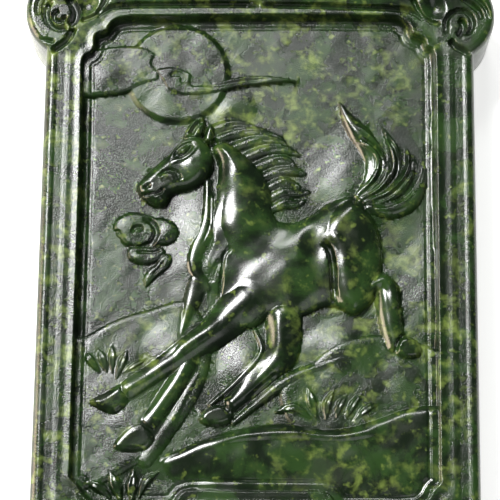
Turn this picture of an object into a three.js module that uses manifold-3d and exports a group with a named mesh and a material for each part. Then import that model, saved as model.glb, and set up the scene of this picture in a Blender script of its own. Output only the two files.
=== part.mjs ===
// Carved jade amulet: a flat tablet with a cloud-shaped head, and a leaping horse in a sunk panel.
// Millimetres. The back lies on z = 0, the carved face looks along +Z and the head points along +Y.
import * as THREE from 'three';
import { mergeVertices } from 'three/addons/utils/BufferGeometryUtils.js';
import Module from 'manifold-3d';

// The tablet
const length = 60;
const bodyWidth = 39;
const thickness = 7.5;
const edgeRound = 0.8;
const cornerRadius = 2.6;

// The head: two ears, two shoulders and a crown with the cord hole
const headWidth = 43;
const earRadius = 4.5;
const earRise = 0.2;
const shoulderRadius = 5.4;
const shoulderReach = 8.6;
const shoulderRise = 3.0;
const crownRadius = 4.6;
const neckWidth = 7.4;
const cordHole = 2.5;
const lobeSides = 24;
const holeSides = 20;

// The volute cut in each ear, and the step between the head and the frame
const voluteRadius = 2.3;
const voluteTurns = 1.35;
const voluteReach = 18.6;
const voluteDrop = 0.5;
const voluteGroove = 0.45;
const voluteTaper = 0.72;
const voluteSteps = 20;
const headStepWidth = 0.9;
const headStepDepth = 0.6;
const headStepRise = 0.8;
const headStepEnd = 1.5;
const headStepBend = 3;
const headStepTurn = 1.2;
const headStepSteps = 16;

// The frame round the panel
const panelWidth = 32;
const panelHeight = 45.6;
const bottomBorder = 3.3;
const recessDepth = 1.3;
const wallRun = 1.05;
const channelInset = 1.45;
const channelWidth = 1.15;
const channelDepth = 0.32;
const channelTop = 4.4;

// The stepped corners of the panel: places in from the corner and down from it, in steps of this size
const cornerStep = 1.25;
const leftCorner = [[3.8, 0], [2.2, 0.5], [1.6, 1.4], [0.9, 1.8], [0.8, 2.9], [0, 3.4]];
const rightCorner = [[0, 2.8], [0.5, 2], [2.1, 0.7], [3, 0]];
const footStepWidth = 12.6;
const footStepRise = 1.15;

// The line cut in the plain back
const backLineInset = 3.4;
const backLineWidth = 0.7;
const backLineDepth = 0.3;

// The relief is drawn on a sheet of this size, which is stretched to fit the panel
const sheetWidth = 32;
const sheetHeight = 45.6;
const reliefHeight = 1.15;
const reliefCell = 0.17;
const reliefTolerance = 0.115;
const reliefSink = 0.05;
const reliefBed = 2.0;
const blend = 0.45;

// Cuts and buried joins run this far past a face
const past = 1;

const panelCentreY = bottomBorder + panelHeight / 2 - length / 2;
const panelTopY = panelCentreY + panelHeight / 2;
const floorZ = thickness - recessDepth;
const earX = headWidth / 2 - earRadius;
const crownY = length / 2 - crownRadius;

// Curves on the sheet

// A smooth line through the points; a third number of a point is the half width there
function smoothLine(points, closed = false, share = 3) {
  const knots = points.map(([x, y, r = 0]) => new THREE.Vector3(x, y, r));
  const curve = new THREE.CatmullRomCurve3(knots, closed, 'centripetal');
  const spans = closed ? points.length : points.length - 1;
  return curve.getPoints(spans * share);
}

function boxOf(line, margin) {
  const box = new THREE.Box2();
  for (const p of line) box.expandByPoint(new THREE.Vector2(p.x, p.y));
  return box.expandByScalar(margin);
}

// The nearest place on the line: how far away it is, and how far along
function nearest(line, x, y) {
  let best = { distance: Infinity, index: 0, share: 0 };
  for (let i = 0; i + 1 < line.length; i += 1) {
    const a = line[i];
    const b = line[i + 1];
    const dx = b.x - a.x;
    const dy = b.y - a.y;
    const span = dx * dx + dy * dy || 1;
    const share = THREE.MathUtils.clamp(((x - a.x) * dx + (y - a.y) * dy) / span, 0, 1);
    const distance = Math.hypot(x - a.x - dx * share, y - a.y - dy * share);
    if (distance < best.distance) best = { distance, index: i, share };
  }
  return best;
}

function isInside(line, x, y) {
  let inside = false;
  for (let i = 0, j = line.length - 1; i < line.length; j = i, i += 1) {
    const a = line[i];
    const b = line[j];
    if (a.y > y !== b.y > y && x < ((b.x - a.x) * (y - a.y)) / (b.y - a.y) + a.x) inside = !inside;
  }
  return inside;
}

// Forms: each gives its height over the floor at a place on the sheet, as a share of the relief

// A rounded strand whose width follows its points, lower where it is thinner
function strand(height, points) {
  const line = smoothLine(points);
  const widest = Math.max(...line.map((p) => p.z));
  const box = boxOf(line, widest);
  return (x, y) => {
    if (!box.containsPoint({ x, y })) return 0;
    const { distance, index, share } = nearest(line, x, y);
    const radius = THREE.MathUtils.lerp(line[index].z, line[index + 1].z, share);
    if (distance >= radius) return 0;
    const dome = 1 - (distance / radius) ** 2;
    return height * Math.sqrt(radius / widest) * dome;
  };
}

// A cushion inside a closed outline, which rises over its rim and is level beyond
function cushion(height, rim, points) {
  const line = smoothLine(points, true);
  const box = boxOf(line, 0);
  return (x, y) => {
    if (!box.containsPoint({ x, y }) || !isInside(line, x, y)) return 0;
    const short = 1 - Math.min(nearest(line, x, y).distance / rim, 1);
    return height * Math.sqrt(1 - short * short);
  };
}

// A groove along a line, given as a depth that fades out over this share of it at both ends
const grooveFade = 0.2;

function groove(depth, width, points) {
  const line = smoothLine(points);
  const box = boxOf(line, width);
  const last = line.length - 1;
  return (x, y) => {
    if (!box.containsPoint({ x, y })) return 0;
    const { distance, index, share } = nearest(line, x, y);
    const along = (index + share) / last;
    const fade = Math.min(1, along / grooveFade, (1 - along) / grooveFade);
    return depth * fade * Math.max(0, 1 - (distance / width) ** 2);
  };
}

// A soft swelling, or a hollow where the amount is negative
function swell(amount, cx, cy, rx, ry) {
  return (x, y) => {
    const t = ((x - cx) / rx) ** 2 + ((y - cy) / ry) ** 2;
    return t < 1 ? amount * (1 - t) ** 2 : 0;
  };
}

const highest = (forms) => (x, y) => forms.reduce((top, form) => Math.max(top, form(x, y)), 0);
const total = (forms) => (x, y) => forms.reduce((sum, form) => sum + form(x, y), 0);

// Joins forms with a soft fold between them
function melt(forms) {
  return (x, y) => {
    let top = 0;
    for (const form of forms) {
      const other = form(x, y);
      const width = Math.min(blend, 2 * Math.min(top, other));
      const near = width > 0 ? Math.max(width - Math.abs(top - other), 0) / width : 0;
      top = Math.max(top, other) + (near * near * width) / 4;
    }
    return top;
  };
}

// A form with swellings on it and grooves in it
function carved(form, swells, grooves) {
  const add = total(swells);
  const cut = highest(grooves);
  return (x, y) => {
    const base = form(x, y);
    return base > 0 ? Math.max(0, base + add(x, y) * Math.min(1, 2 * base) - cut(x, y)) : 0;
  };
}

// Sky: the moon behind the long cloud, and the small curled cloud
function moon() {
  const centre = [-7.5, 17.2];
  const radius = 4.9;
  const rim = 0.5;
  const rise = 0.24;
  const crown = 0.12;
  return (x, y) => {
    const inward = radius - Math.hypot(x - centre[0], y - centre[1]);
    if (inward <= 0) return 0;
    const short = 1 - Math.min(inward / rim, 1);
    return rise * Math.sqrt(1 - short * short) + (crown * inward) / radius;
  };
}

function longCloud() {
  const lobe = cushion(0.58, 1.1, [
    [-16.2, 15], [-14, 14.95], [-12.2, 15.25], [-10.3, 16.1], [-9.2, 16.4], [-9, 17.2], [-9.7, 18.2],
    [-9.4, 19], [-10.4, 19.7], [-12.6, 19.85], [-14.6, 19.6], [-16.2, 19],
  ]);
  const curl = cushion(0.56, 0.75, [
    [-9.6, 17.5], [-8.4, 17.85], [-7.1, 17.7], [-6.1, 17.1], [-6.2, 16.2], [-4, 16.45], [-2, 16.95],
    [1, 17.1], [3.5, 16.6], [1, 16.3], [-2, 15.85], [-4, 15.3], [-6.8, 15], [-8.3, 15.5], [-8.9, 16.4],
  ]);
  return highest([lobe, curl]);
}

function smallCloud() {
  const cloud = cushion(0.5, 0.7, [
    [-13, 2.3], [-12.6, 3.5], [-11.4, 4.05], [-9.8, 3.8], [-8, 3.5], [-7.1, 2.6], [-7.3, 1.4], [-8.1, 0.6],
    [-7.6, -0.3], [-8.2, -1.4], [-9.3, -2.4], [-10.2, -2.9], [-10.1, -1.3], [-11.2, -0.6], [-11.6, 0.4],
    [-12.5, 1.3],
  ]);
  return carved(cloud, [], [
    groove(0.3, 0.4, [[-10.7, 3.2], [-9.6, 3.1], [-9.3, 2.1], [-9.8, 1.3], [-10.9, 0.75], [-11.9, 0.8]]),
    groove(0.2, 0.3, [[-11.4, 2.5], [-10.9, 2.7], [-10.7, 2.2], [-10.9, 1.7]]),
    groove(0.3, 0.35, [[-9.4, 0.7], [-8.6, 0.7], [-7.9, 0.6]]),
    groove(0.2, 0.3, [[-10.6, 0.1], [-9.9, -0.25], [-9, -0.1]]),
  ]);
}

// Ground: hills behind, a bank, the raised bank in front, and tufts of leaves
function ground() {
  const leftHill = cushion(0.22, 1.2, [
    [-16.6, -8], [-14.9, -7.2], [-13, -6.1], [-9.7, -4.9], [-6, -4.2], [-4, -9], [-8, -17], [-16.6, -21],
  ]);
  const rightHill = cushion(0.3, 1.2, [
    [2, -12], [4.4, -9.9], [6.5, -8.3], [10, -7], [14, -7.6], [16.6, -9], [16.6, -16], [4, -16],
  ]);
  const front = carved(
    cushion(0.66, 1.1, [
      [-8.4, -18.6], [-6, -17.1], [-3.6, -16.1], [0, -15.2], [3, -15], [5.8, -15.45], [8.2, -15.2],
      [11, -14.3], [13.6, -13.4], [16.8, -13.6], [16.8, -23.4], [-5, -23.4],
    ]),
    [swell(-0.3, 3, -22.6, 13, 5)],
    [],
  );
  return highest([
    leftHill,
    rightHill,
    front,
    strand(0.42, [[-2, -15, 0.3], [0.6, -12.8, 0.5], [3, -11, 0.65], [6.2, -9.7, 0.5], [9, -8.6, 0.2]]),
    strand(0.34, [[-4.8, -10.1, 0.4], [-6.4, -13, 0.65], [-7.8, -15.7, 0.8], [-9.6, -18.3, 0.8]]),
    strand(0.3, [[-15.2, -9, 0.3], [-14.6, -13, 0.7], [-14.4, -17, 0.8], [-14.8, -20, 0.4]]),
  ]);
}

// A leaf is a strand that swells in the middle
function leaf(height, width, root, middle, tip) {
  const rootShare = 0.35;
  const tipShare = 0.2;
  return strand(height, [[...root, rootShare * width], [...middle, width], [...tip, tipShare * width]]);
}

function tufts() {
  return highest([
    leaf(0.5, 0.5, [-13.8, -10.7], [-14.7, -9.5], [-15.3, -8.7]),
    leaf(0.55, 0.52, [-13.2, -10.6], [-13.6, -9.4], [-14, -8.5]),
    leaf(0.55, 0.45, [-12.7, -10.7], [-12.75, -9.2], [-12.8, -8.1]),
    leaf(0.55, 0.52, [-12.3, -11.2], [-11.8, -9.5], [-11.4, -8.6]),
    leaf(0.5, 0.42, [-11.8, -10.7], [-10.7, -9.9], [-9.4, -9.2]),
    leaf(0.5, 0.55, [-12.6, -21.6], [-13.7, -20.7], [-14.8, -20.3]),
    leaf(0.5, 0.6, [-11.7, -21.8], [-12.2, -20.5], [-12.7, -19.3]),
    leaf(0.5, 0.62, [-10.7, -21.8], [-10.7, -20.5], [-10.6, -19.3]),
    leaf(0.5, 0.42, [-10.1, -21.6], [-9.5, -20.2], [-8.4, -19.4]),
    leaf(0.6, 0.6, [4.8, -14.6], [3.3, -13.6], [1.7, -14]),
    leaf(0.66, 0.6, [5.3, -14.5], [4.8, -13], [4.5, -11.7]),
    leaf(0.66, 0.55, [6.1, -14.6], [6.2, -13.2], [6.9, -11.8]),
    leaf(0.62, 0.5, [7, -14.5], [7.3, -13.3], [8.1, -12.2]),
    leaf(0.62, 0.5, [7.8, -14.6], [8.5, -13.2], [9.4, -12.1]),
    leaf(0.58, 0.55, [8.6, -14.6], [9.7, -13.6], [11, -13]),
  ]);
}

// Mane: locks that stream back from the crest, each a little lower than the one before
function mane() {
  const locks = [
    [[-4.4, 12.2, 0.3], [-2.6, 12.5, 0.5], [-0.4, 12.1, 0.1]],
    [[-3, 11.2, 0.4], [-0.9, 11.3, 0.5], [2, 11.3, 0.1]],
    [[-1.4, 10, 0.4], [0.8, 10, 0.6], [3.3, 9.8, 0.12]],
    [[-0.2, 8.9, 0.4], [1.5, 8.7, 0.55], [2.9, 8.9, 0.12]],
    [[0.6, 7.8, 0.4], [2.2, 7.6, 0.6], [3.9, 8, 0.12]],
    [[0.9, 6.8, 0.4], [2.5, 6.5, 0.5], [4, 6.6, 0.12]],
    [[1.1, 5.6, 0.4], [2.7, 5.2, 0.55], [4.1, 5.8, 0.12]],
    [[1.3, 4.6, 0.35], [2.4, 4.1, 0.35], [3.3, 4.6, 0.1]],
  ];
  const height = 0.4;
  return highest(locks.map((lock) => strand(height, lock)));
}

function tail() {
  const height = 0.62;
  const step = 0.05;
  const locks = [
    [[9.9, 4.6, 0.5], [12, 4.5, 0.85], [13.7, 5.3, 0.8], [14.6, 6.8, 0.55], [15, 8.7, 0.1]],
    [[9.7, 5.2, 0.5], [11.6, 5.9, 0.75], [13, 7.2, 0.75], [13.6, 8.7, 0.5], [13.3, 10.4, 0.1]],
    [[9.4, 5.5, 0.5], [11.3, 7, 0.8], [12.1, 8.6, 0.7], [12.1, 10.2, 0.6], [11.2, 12.2, 0.1]],
    [[9, 5.7, 0.4], [10.1, 7, 0.75], [10.5, 8.8, 0.95], [10, 10.4, 1.05], [8.9, 11.9, 0.95],
      [8, 13.1, 0.5], [7.3, 14.4, 0.1]],
  ];
  return carved(highest(locks.map((lock, order) => strand(height + step * order, lock))), [], [
    groove(0.2, 0.28, [[9.3, 6.4], [10, 7.4], [10.4, 8.8], [10.1, 10], [9.3, 10.9]]),
    groove(0.18, 0.26, [[9.9, 6.6], [11, 8], [11.1, 9.4], [10.5, 10.8], [9.2, 12.1]]),
    groove(0.16, 0.26, [[10.4, 4.3], [12.4, 4.8], [13.9, 6], [14.5, 7.6]]),
  ]);
}

// Legs that lie behind the horse
function farLegs() {
  const fore = melt([
    strand(0.62, [[-6, -9.8, 0.9], [-7.3, -12, 1.1], [-8.5, -13.9, 1.05], [-9.4, -15.3, 0.95]]),
    cushion(0.62, 0.6, [[-10.3, -15.2], [-12.5, -17.1], [-12.2, -17.6], [-9.4, -17.5], [-8.8, -16.4]]),
  ]);
  const hind = melt([
    strand(0.78, [
      [2.3, -5.4, 1.7], [2.4, -7.3, 1.6], [2.1, -9, 1.5], [0.9, -10.4, 1.2], [-0.5, -11.8, 1],
      [-2, -13.2, 0.85],
    ]),
    cushion(0.62, 0.6, [
      [-3.3, -13.4], [-4.7, -14], [-5, -14.9], [-3.6, -15.4], [-2.1, -14.9], [-2.2, -13.8],
    ]),
  ]);
  return highest([
    strand(0.4, [[-5.3, -2.4, 0.9], [-6.1, -5, 0.75], [-6.75, -7.4, 0.3]]),
    strand(0.34, [
      [-0.2, -6.7, 0.25], [0.45, -8.3, 0.3], [0, -9.5, 0.3], [-1.6, -11.2, 0.3], [-4, -13.4, 0.3],
    ]),
    carved(fore, [], [groove(0.25, 0.3, [[-10.2, -14.9], [-9.6, -15.5], [-8.8, -16]])]),
    carved(hind, [], [
      groove(0.25, 0.3, [[-3.3, -13.3], [-2.7, -13.8], [-2.2, -14.4]]),
      groove(0.16, 0.3, [[1.9, -10.5], [0.6, -11.6], [-0.9, -13]]),
    ]),
  ]);
}

// The horse's trunk, haunch and near legs
function trunk() {
  const body = cushion(0.86, 2.5, [
    [-4.2, 10.2], [-3.2, 10.75], [-1.2, 9.4], [0.4, 7.8], [1.2, 5.8], [1.45, 3.7], [2.6, 3.15], [4.4, 3.75],
    [6.2, 5], [8.4, 5.6], [9.9, 4.3], [11, 2], [11.1, -0.8], [10.3, -3.8], [8.6, -5.3], [7.1, -4.6],
    [5.8, -4.6], [4, -5.4], [1.6, -5.2], [-0.6, -6.6], [-3, -5.6], [-3.4, -4], [-4.2, -2.6], [-4.6, -0.6],
    [-3.9, 1.3], [-4.05, 3], [-3.75, 6], [-3.7, 8.6],
  ]);
  const haunch = cushion(0.96, 1.9, [
    [6, 1.7], [6.9, 0.4], [7.2, -1.6], [7.2, -4.3], [8.6, -5.3], [10.2, -4], [11, -1.6], [11.1, 1],
    [10.2, 3.7], [8.4, 5.3], [6.6, 4],
  ]);
  const foreleg = strand(0.92, [
    [-0.8, -3.8, 2.1], [-3.5, -6.6, 1.6], [-6.2, -8.7, 1.32], [-8.9, -10.6, 1.14], [-11.2, -12.2, 1.08],
  ]);
  const cannon = strand(0.76, [[11.5, -2.3, 0.85], [11.6, -4.4, 1.02], [11.8, -6.3, 1], [12.1, -8, 0.9]]);
  const foreHoof = cushion(0.72, 0.7, [
    [-11.9, -11.7], [-13.3, -12.5], [-14.7, -13.3], [-13.6, -14.1], [-12.2, -14.4], [-11.1, -13.1],
  ]);
  const hindHoof = cushion(0.7, 0.7, [
    [12.7, -6.7], [13.7, -6.8], [14.6, -7.7], [14.3, -9], [12.9, -9.3], [12.1, -8.5],
  ]);
  const neckBand = strand(0.5, [
    [-4.6, 6.9, 0.4], [-4.5, 4, 0.55], [-4.7, 2, 0.65], [-5.5, 0.3, 0.7], [-5.6, -1.2, 0.6], [-4.4, -3, 0.3],
  ]);
  return highest([
    neckBand,
    carved(melt([body, haunch, foreleg]), [
      swell(0.12, -1.4, -2.2, 3, 3),
      swell(0.14, 8.6, 1.4, 2.6, 3.4),
      swell(-0.14, 1, 1.6, 3.4, 1.8),
      swell(-0.16, 4.6, 0.6, 1.6, 3),
    ], [
      groove(0.5, 0.45, [[5.7, 1.3], [6.3, 0.7], [6.65, -0.8], [6.75, -2.6], [6.9, -4.3]]),
      groove(0.3, 0.3, [[-2.4, 0.8], [-3, 0], [-3.2, -2], [-3.3, -3.8]]),
      groove(0.4, 0.42, [[-3.3, -0.3], [-3.8, -1.3], [-4.2, -2.4]]),
      groove(0.35, 0.3, [[-3.5, -3.9], [-2.9, -4.4], [-2.1, -4.7]]),
    ]),
    carved(highest([foreHoof, foreleg]), [], [
      groove(0.3, 0.3, [[-12, -11.9], [-11.4, -12.5], [-10.9, -13.2]]),
    ]),
    carved(melt([cannon, hindHoof]), [], [groove(0.3, 0.3, [[13, -6.9], [12.4, -7.8], [12.2, -8.8]])]),
  ]);
}

function head() {
  const skull = cushion(1, 1.15, [
    [-6.8, 11], [-8.4, 9.3], [-10.4, 7.4], [-11, 6.4], [-10.5, 5.3], [-9.3, 4.5], [-8.3, 4.6], [-7.7, 5.6],
    [-6, 6.1], [-4.7, 7], [-4, 8.5], [-4.4, 10.1], [-5.4, 11.2],
  ]);
  const frontEar = cushion(0.9, 0.45, [[-6.9, 10.9], [-6.5, 12.1], [-5.1, 13.1], [-4.9, 11.9], [-5.5, 10.8]]);
  const backEar = cushion(0.85, 0.4, [[-5, 10.5], [-4.9, 11.5], [-4.4, 12.5], [-4, 11.6], [-4.3, 10.5]]);
  return highest([
    carved(frontEar, [], [groove(0.35, 0.35, [[-6.2, 11.1], [-5.8, 11.9], [-5.2, 12.6]])]),
    backEar,
    carved(skull, [swell(0.12, -5.7, 8.4, 1.5, 1.6), swell(0.1, -8.3, 6.7, 0.8, 0.8)], [
      groove(0.2, 0.22, [[-8.3, 8.7], [-7.8, 9.6], [-6.9, 10.2], [-6.1, 10.4]]),
      groove(0.2, 0.22, [[-8.2, 8.7], [-7.3, 8.9], [-6.5, 9.3], [-6.2, 10.1]]),
      groove(0.25, 0.24, [[-9, 7.2], [-8.2, 7.75], [-7.3, 7.5], [-6.9, 6.9]]),
      groove(0.3, 0.22, [[-10.6, 5.5], [-9.5, 5.6], [-8.7, 6.2]]),
      groove(0.4, 0.4, [[-10.3, 6.1], [-10, 6.15], [-9.7, 6.2]]),
    ]),
  ]);
}

const relief = highest([
  moon(), longCloud(), smallCloud(), ground(), tufts(), mane(), tail(), farLegs(), trunk(), head(),
]);

// The heights of the relief at the corners of a fine grid over the sheet
function reliefGrid() {
  const columns = Math.round(sheetWidth / reliefCell);
  const rows = Math.round(sheetHeight / reliefCell);
  const width = columns + 1;
  const heights = new Float64Array(width * (rows + 1));
  for (let i = 0; i < heights.length; i += 1) {
    const x = ((i % width) / columns - 0.5) * sheetWidth;
    const y = (Math.floor(i / width) / rows - 0.5) * sheetHeight;
    heights[i] = reliefHeight * relief(x, y);
  }
  const corners = [0, columns, rows * width + columns, rows * width];
  return { columns, rows, heights, corners, place: (i) => [i % width, Math.floor(i / width)] };
}

// Twice the area of a triangle, positive where its corners run anticlockwise
const turn = ([ax, ay], [bx, by], [cx, cy]) => (bx - ax) * (cy - ay) - (by - ay) * (cx - ax);

// Whether a place lies within the circle through the corners of a triangle
function isInCircle([a, b, c], p) {
  const [ax, ay, bx, by, cx, cy] = [a, b, c].flatMap(([x, y]) => [x - p[0], y - p[1]]);
  const [aa, bb, cc] = [ax * ax + ay * ay, bx * bx + by * by, cx * cx + cy * cy];
  return aa * (bx * cy - by * cx) - bb * (ax * cy - ay * cx) + cc * (ax * by - ay * bx) > 0;
}

// A net of triangles over the grid, with a point added wherever the net is furthest from the form
// until it is nowhere further than the tolerance
function reliefNet({ columns, heights, corners, place }) {
  const triangles = new Set();
  const owners = new Map();
  const edges = ([a, b, c]) => [[a, b], [b, c], [c, a]];
  const key = (a, b) => a * heights.length + b;

  // The grid point inside a triangle where the form is furthest from the triangle
  function furthest(ids) {
    const [a, b, c] = ids.map(place);
    const [ha, hb, hc] = ids.map((i) => heights[i]);
    const area = turn(a, b, c);
    const [lowX, highX] = [Math.min(a[0], b[0], c[0]), Math.max(a[0], b[0], c[0])];
    const [lowY, highY] = [Math.min(a[1], b[1], c[1]), Math.max(a[1], b[1], c[1])];
    let worst = { miss: 0, point: -1 };
    for (let y = lowY; y <= highY; y += 1) {
      for (let x = lowX; x <= highX; x += 1) {
        const [wa, wb, wc] = [turn(b, c, [x, y]), turn(c, a, [x, y]), turn(a, b, [x, y])];
        if (wa < 0 || wb < 0 || wc < 0) continue;
        const point = y * (columns + 1) + x;
        const miss = Math.abs(heights[point] - (wa * ha + wb * hb + wc * hc) / area);
        if (miss > worst.miss) worst = { miss, point };
      }
    }
    return worst;
  }

  function add(ids) {
    const triangle = { ids, places: ids.map(place), ...furthest(ids) };
    triangles.add(triangle);
    for (const [a, b] of edges(ids)) owners.set(key(a, b), triangle);
  }

  // Takes out the triangles whose circle holds the new point, and joins their rim to it
  function insert(point, first) {
    const spot = place(point);
    const hole = new Set([first]);
    const rim = [];
    for (const triangle of hole) {
      for (const [a, b] of edges(triangle.ids)) {
        const other = owners.get(key(b, a));
        if (hole.has(other)) continue;
        if (other && isInCircle(other.places, spot)) hole.add(other);
        else rim.push([a, b]);
      }
    }
    for (const triangle of hole) {
      triangles.delete(triangle);
      for (const [a, b] of edges(triangle.ids)) owners.delete(key(a, b));
    }
    for (const [a, b] of rim) {
      if (turn(place(a), place(b), spot) > 0) add([a, b, point]);
    }
  }

  add([corners[0], corners[1], corners[2]]);
  add([corners[0], corners[2], corners[3]]);
  for (;;) {
    let worst = { miss: 0 };
    for (const triangle of triangles) {
      if (triangle.miss > worst.miss) worst = triangle;
    }
    if (worst.miss < reliefTolerance) break;
    insert(worst.point, worst);
  }
  return [...triangles].map(({ ids }) => ids);
}

// The net as a closed block whose sides and foot are buried in the tablet
function reliefBlock() {
  const grid = reliefGrid();
  const { columns, rows, heights, place } = grid;
  const foot = (i) => [
    (place(i)[0] / columns - 0.5) * panelWidth,
    panelCentreY + (place(i)[1] / rows - 0.5) * panelHeight,
    floorZ - reliefBed,
  ];
  const top = (i) => [...foot(i).slice(0, 2), floorZ - reliefSink + heights[i]];
  const centre = [0, panelCentreY, floorZ - reliefBed];
  const ends = [columns, rows];
  const isOn = (a, b) => [0, 1].some((k) => a[k] === b[k] && (a[k] === 0 || a[k] === ends[k]));
  const corners = [];
  for (const [a, b, c] of reliefNet(grid)) {
    corners.push(top(a), top(b), top(c));
    for (const [p, q] of [[a, b], [b, c], [c, a]]) {
      if (isOn(place(p), place(q))) {
        corners.push(top(q), top(p), foot(p), top(q), foot(p), foot(q));
        corners.push(foot(q), foot(p), centre);
      }
    }
  }
  const geometry = new THREE.BufferGeometry();
  geometry.setAttribute('position', new THREE.Float32BufferAttribute(corners.flat(), 3));
  return geometry;
}

// Outlines

function roundedRectangle(width, low, high, radius) {
  const shape = new THREE.Shape();
  const w = width / 2;
  shape.moveTo(-w + radius, low);
  shape.lineTo(w - radius, low);
  shape.absarc(w - radius, low + radius, radius, -Math.PI / 2, 0);
  shape.lineTo(w, high - radius);
  shape.absarc(w - radius, high - radius, radius, 0, Math.PI / 2);
  shape.lineTo(-w + radius, high);
  shape.absarc(-w + radius, high - radius, radius, Math.PI / 2, Math.PI);
  shape.lineTo(-w, low + radius);
  shape.absarc(-w + radius, low + radius, radius, Math.PI, 1.5 * Math.PI);
  return shape;
}

// The panel's opening, moved inward all round by the inset; its foot rises in a step
function panelOutline(inset) {
  const w = panelWidth / 2 - inset;
  const h = panelHeight / 2 - inset;
  const s = cornerStep;
  const foot = footStepWidth / 2 + inset;
  const rise = footStepRise;
  return [
    [-w, -h + s], [-w + s, -h], [-foot, -h], [-foot + rise, -h + rise], [foot - rise, -h + rise], [foot, -h],
    [w - s, -h], [w, -h + s],
    ...rightCorner.map(([across, down]) => [w - across * s, h - down * s]),
    ...leftCorner.map(([across, down]) => [-w + across * s, h - down * s]),
  ].map(([x, y]) => [x, panelCentreY + y]);
}

// A cutter between outlines of like points at several levels, from low to high
function loft(sections) {
  const count = sections[0].points.length;
  const corners = [];
  const point = (k, i) => [...sections[k].points[i % count], sections[k].z];
  for (let k = 0; k + 1 < sections.length; k += 1) {
    for (let i = 0; i < count; i += 1) {
      corners.push(point(k, i), point(k, i + 1), point(k + 1, i + 1));
      corners.push(point(k, i), point(k + 1, i + 1), point(k + 1, i));
    }
  }
  const flat = (k) => sections[k].points.map(([x, y]) => new THREE.Vector2(x, y));
  const ends = sections.length - 1;
  for (const [a, b, c] of THREE.ShapeUtils.triangulateShape(flat(0), [])) {
    corners.push(point(0, c), point(0, b), point(0, a));
  }
  for (const [a, b, c] of THREE.ShapeUtils.triangulateShape(flat(ends), [])) {
    corners.push(point(ends, a), point(ends, b), point(ends, c));
  }
  const geometry = new THREE.BufferGeometry();
  geometry.setAttribute('position', new THREE.Float32BufferAttribute(corners.flat(), 3));
  return geometry;
}

// Solids

const wasm = await Module();
wasm.setup();

function solid(geometry) {
  const bare = geometry.clone();
  bare.deleteAttribute('normal');
  bare.deleteAttribute('uv');
  const merged = mergeVertices(bare, 1e-4);
  const vertProperties = new Float32Array(merged.attributes.position.array);
  const triVerts = new Uint32Array(merged.index.array);
  return new wasm.Manifold(new wasm.Mesh({ numProp: 3, vertProperties, triVerts }));
}

function geometryOf(body) {
  const mesh = body.getMesh();
  const geometry = new THREE.BufferGeometry();
  const positions = new Float32Array(mesh.numVert * 3);
  for (let i = 0; i < mesh.numVert; i += 1) {
    for (let k = 0; k < 3; k += 1) positions[3 * i + k] = mesh.vertProperties[i * mesh.numProp + k];
  }
  geometry.setAttribute('position', new THREE.BufferAttribute(positions, 3));
  geometry.setIndex(new THREE.BufferAttribute(new Uint32Array(mesh.triVerts), 1));
  geometry.computeVertexNormals();
  return geometry;
}

function plate(width, low, high) {
  const outline = roundedRectangle(width, low, high, cornerRadius);
  const geometry = new THREE.ExtrudeGeometry(outline, {
    depth: thickness - 2 * edgeRound,
    bevelThickness: edgeRound,
    bevelSize: edgeRound,
    bevelOffset: -edgeRound,
    bevelSegments: 2,
    curveSegments: 5,
  });
  return solid(geometry.translate(0, 0, edgeRound));
}

const tablet = () => plate(bodyWidth, -length / 2, panelTopY + past);
const headPlate = () => plate(2 * earX, panelTopY - earRadius, panelTopY + shoulderRise + past);
const neck = () => plate(neckWidth, panelTopY - earRadius, crownY);

// A round lobe of the head, with rounded rims
function lobe(x, y, radius) {
  const turn = edgeRound * Math.SQRT1_2;
  const inner = radius - edgeRound;
  const profile = [
    [0, 0],
    [inner, 0],
    [inner + turn, edgeRound - turn],
    [radius, edgeRound],
    [radius, thickness - edgeRound],
    [inner + turn, thickness - edgeRound + turn],
    [inner, thickness],
    [0, thickness],
  ].map(([r, z]) => new THREE.Vector2(r, z));
  return solid(new THREE.LatheGeometry(profile, lobeSides).rotateX(Math.PI / 2).translate(x, y, 0));
}

function recess() {
  const level = (inset, z) => ({ points: panelOutline(inset), z });
  return solid(loft([
    level(wallRun, floorZ),
    level(0.4 * wallRun, floorZ + 0.35 * recessDepth),
    level(0, thickness),
    level(0, thickness + past),
  ]));
}

// The hollow moulding along both sides and the foot of the frame
function channel() {
  const narrow = channelWidth / 3;
  const slope = channelWidth / 3;
  const outer = panelWidth / 2 + channelInset + 2 * slope;
  const low = panelCentreY - panelHeight / 2 - channelInset - narrow / 2;
  const high = panelTopY - channelTop;
  const inner = outer - narrow;
  const shape = new THREE.Shape();
  shape.moveTo(-outer, high);
  shape.lineTo(-outer, low);
  shape.lineTo(outer, low);
  shape.lineTo(outer, high);
  shape.lineTo(inner, high);
  shape.lineTo(inner, low + narrow);
  shape.lineTo(-inner, low + narrow);
  shape.lineTo(-inner, high);
  const geometry = new THREE.ExtrudeGeometry(shape, {
    depth: past,
    bevelThickness: channelDepth,
    bevelSize: slope,
    bevelSegments: 2,
  });
  return solid(geometry.translate(0, 0, thickness));
}

// A round groove along a line on the face
function roundCut(points, radius, depth, steps) {
  const path = new THREE.CatmullRomCurve3(points.map(([x, y]) => new THREE.Vector3(x, y, 0)));
  const section = new THREE.Shape();
  section.absarc(0, 0, radius, 0, 2 * Math.PI);
  const geometry = new THREE.ExtrudeGeometry(section, { steps, extrudePath: path, curveSegments: 3 });
  return solid(geometry.translate(0, 0, thickness + radius - depth));
}

function volute(sideways) {
  const points = [];
  for (let i = 0; i <= voluteSteps; i += 1) {
    const share = i / voluteSteps;
    const angle = Math.PI / 2 + 2 * Math.PI * voluteTurns * share;
    const radius = voluteRadius * (1 - voluteTaper * share);
    const y = panelTopY - voluteDrop + radius * Math.sin(angle);
    points.push([sideways * (voluteReach + radius * Math.cos(angle)), y]);
  }
  return roundCut(points, voluteGroove, voluteGroove, voluteSteps);
}

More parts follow.
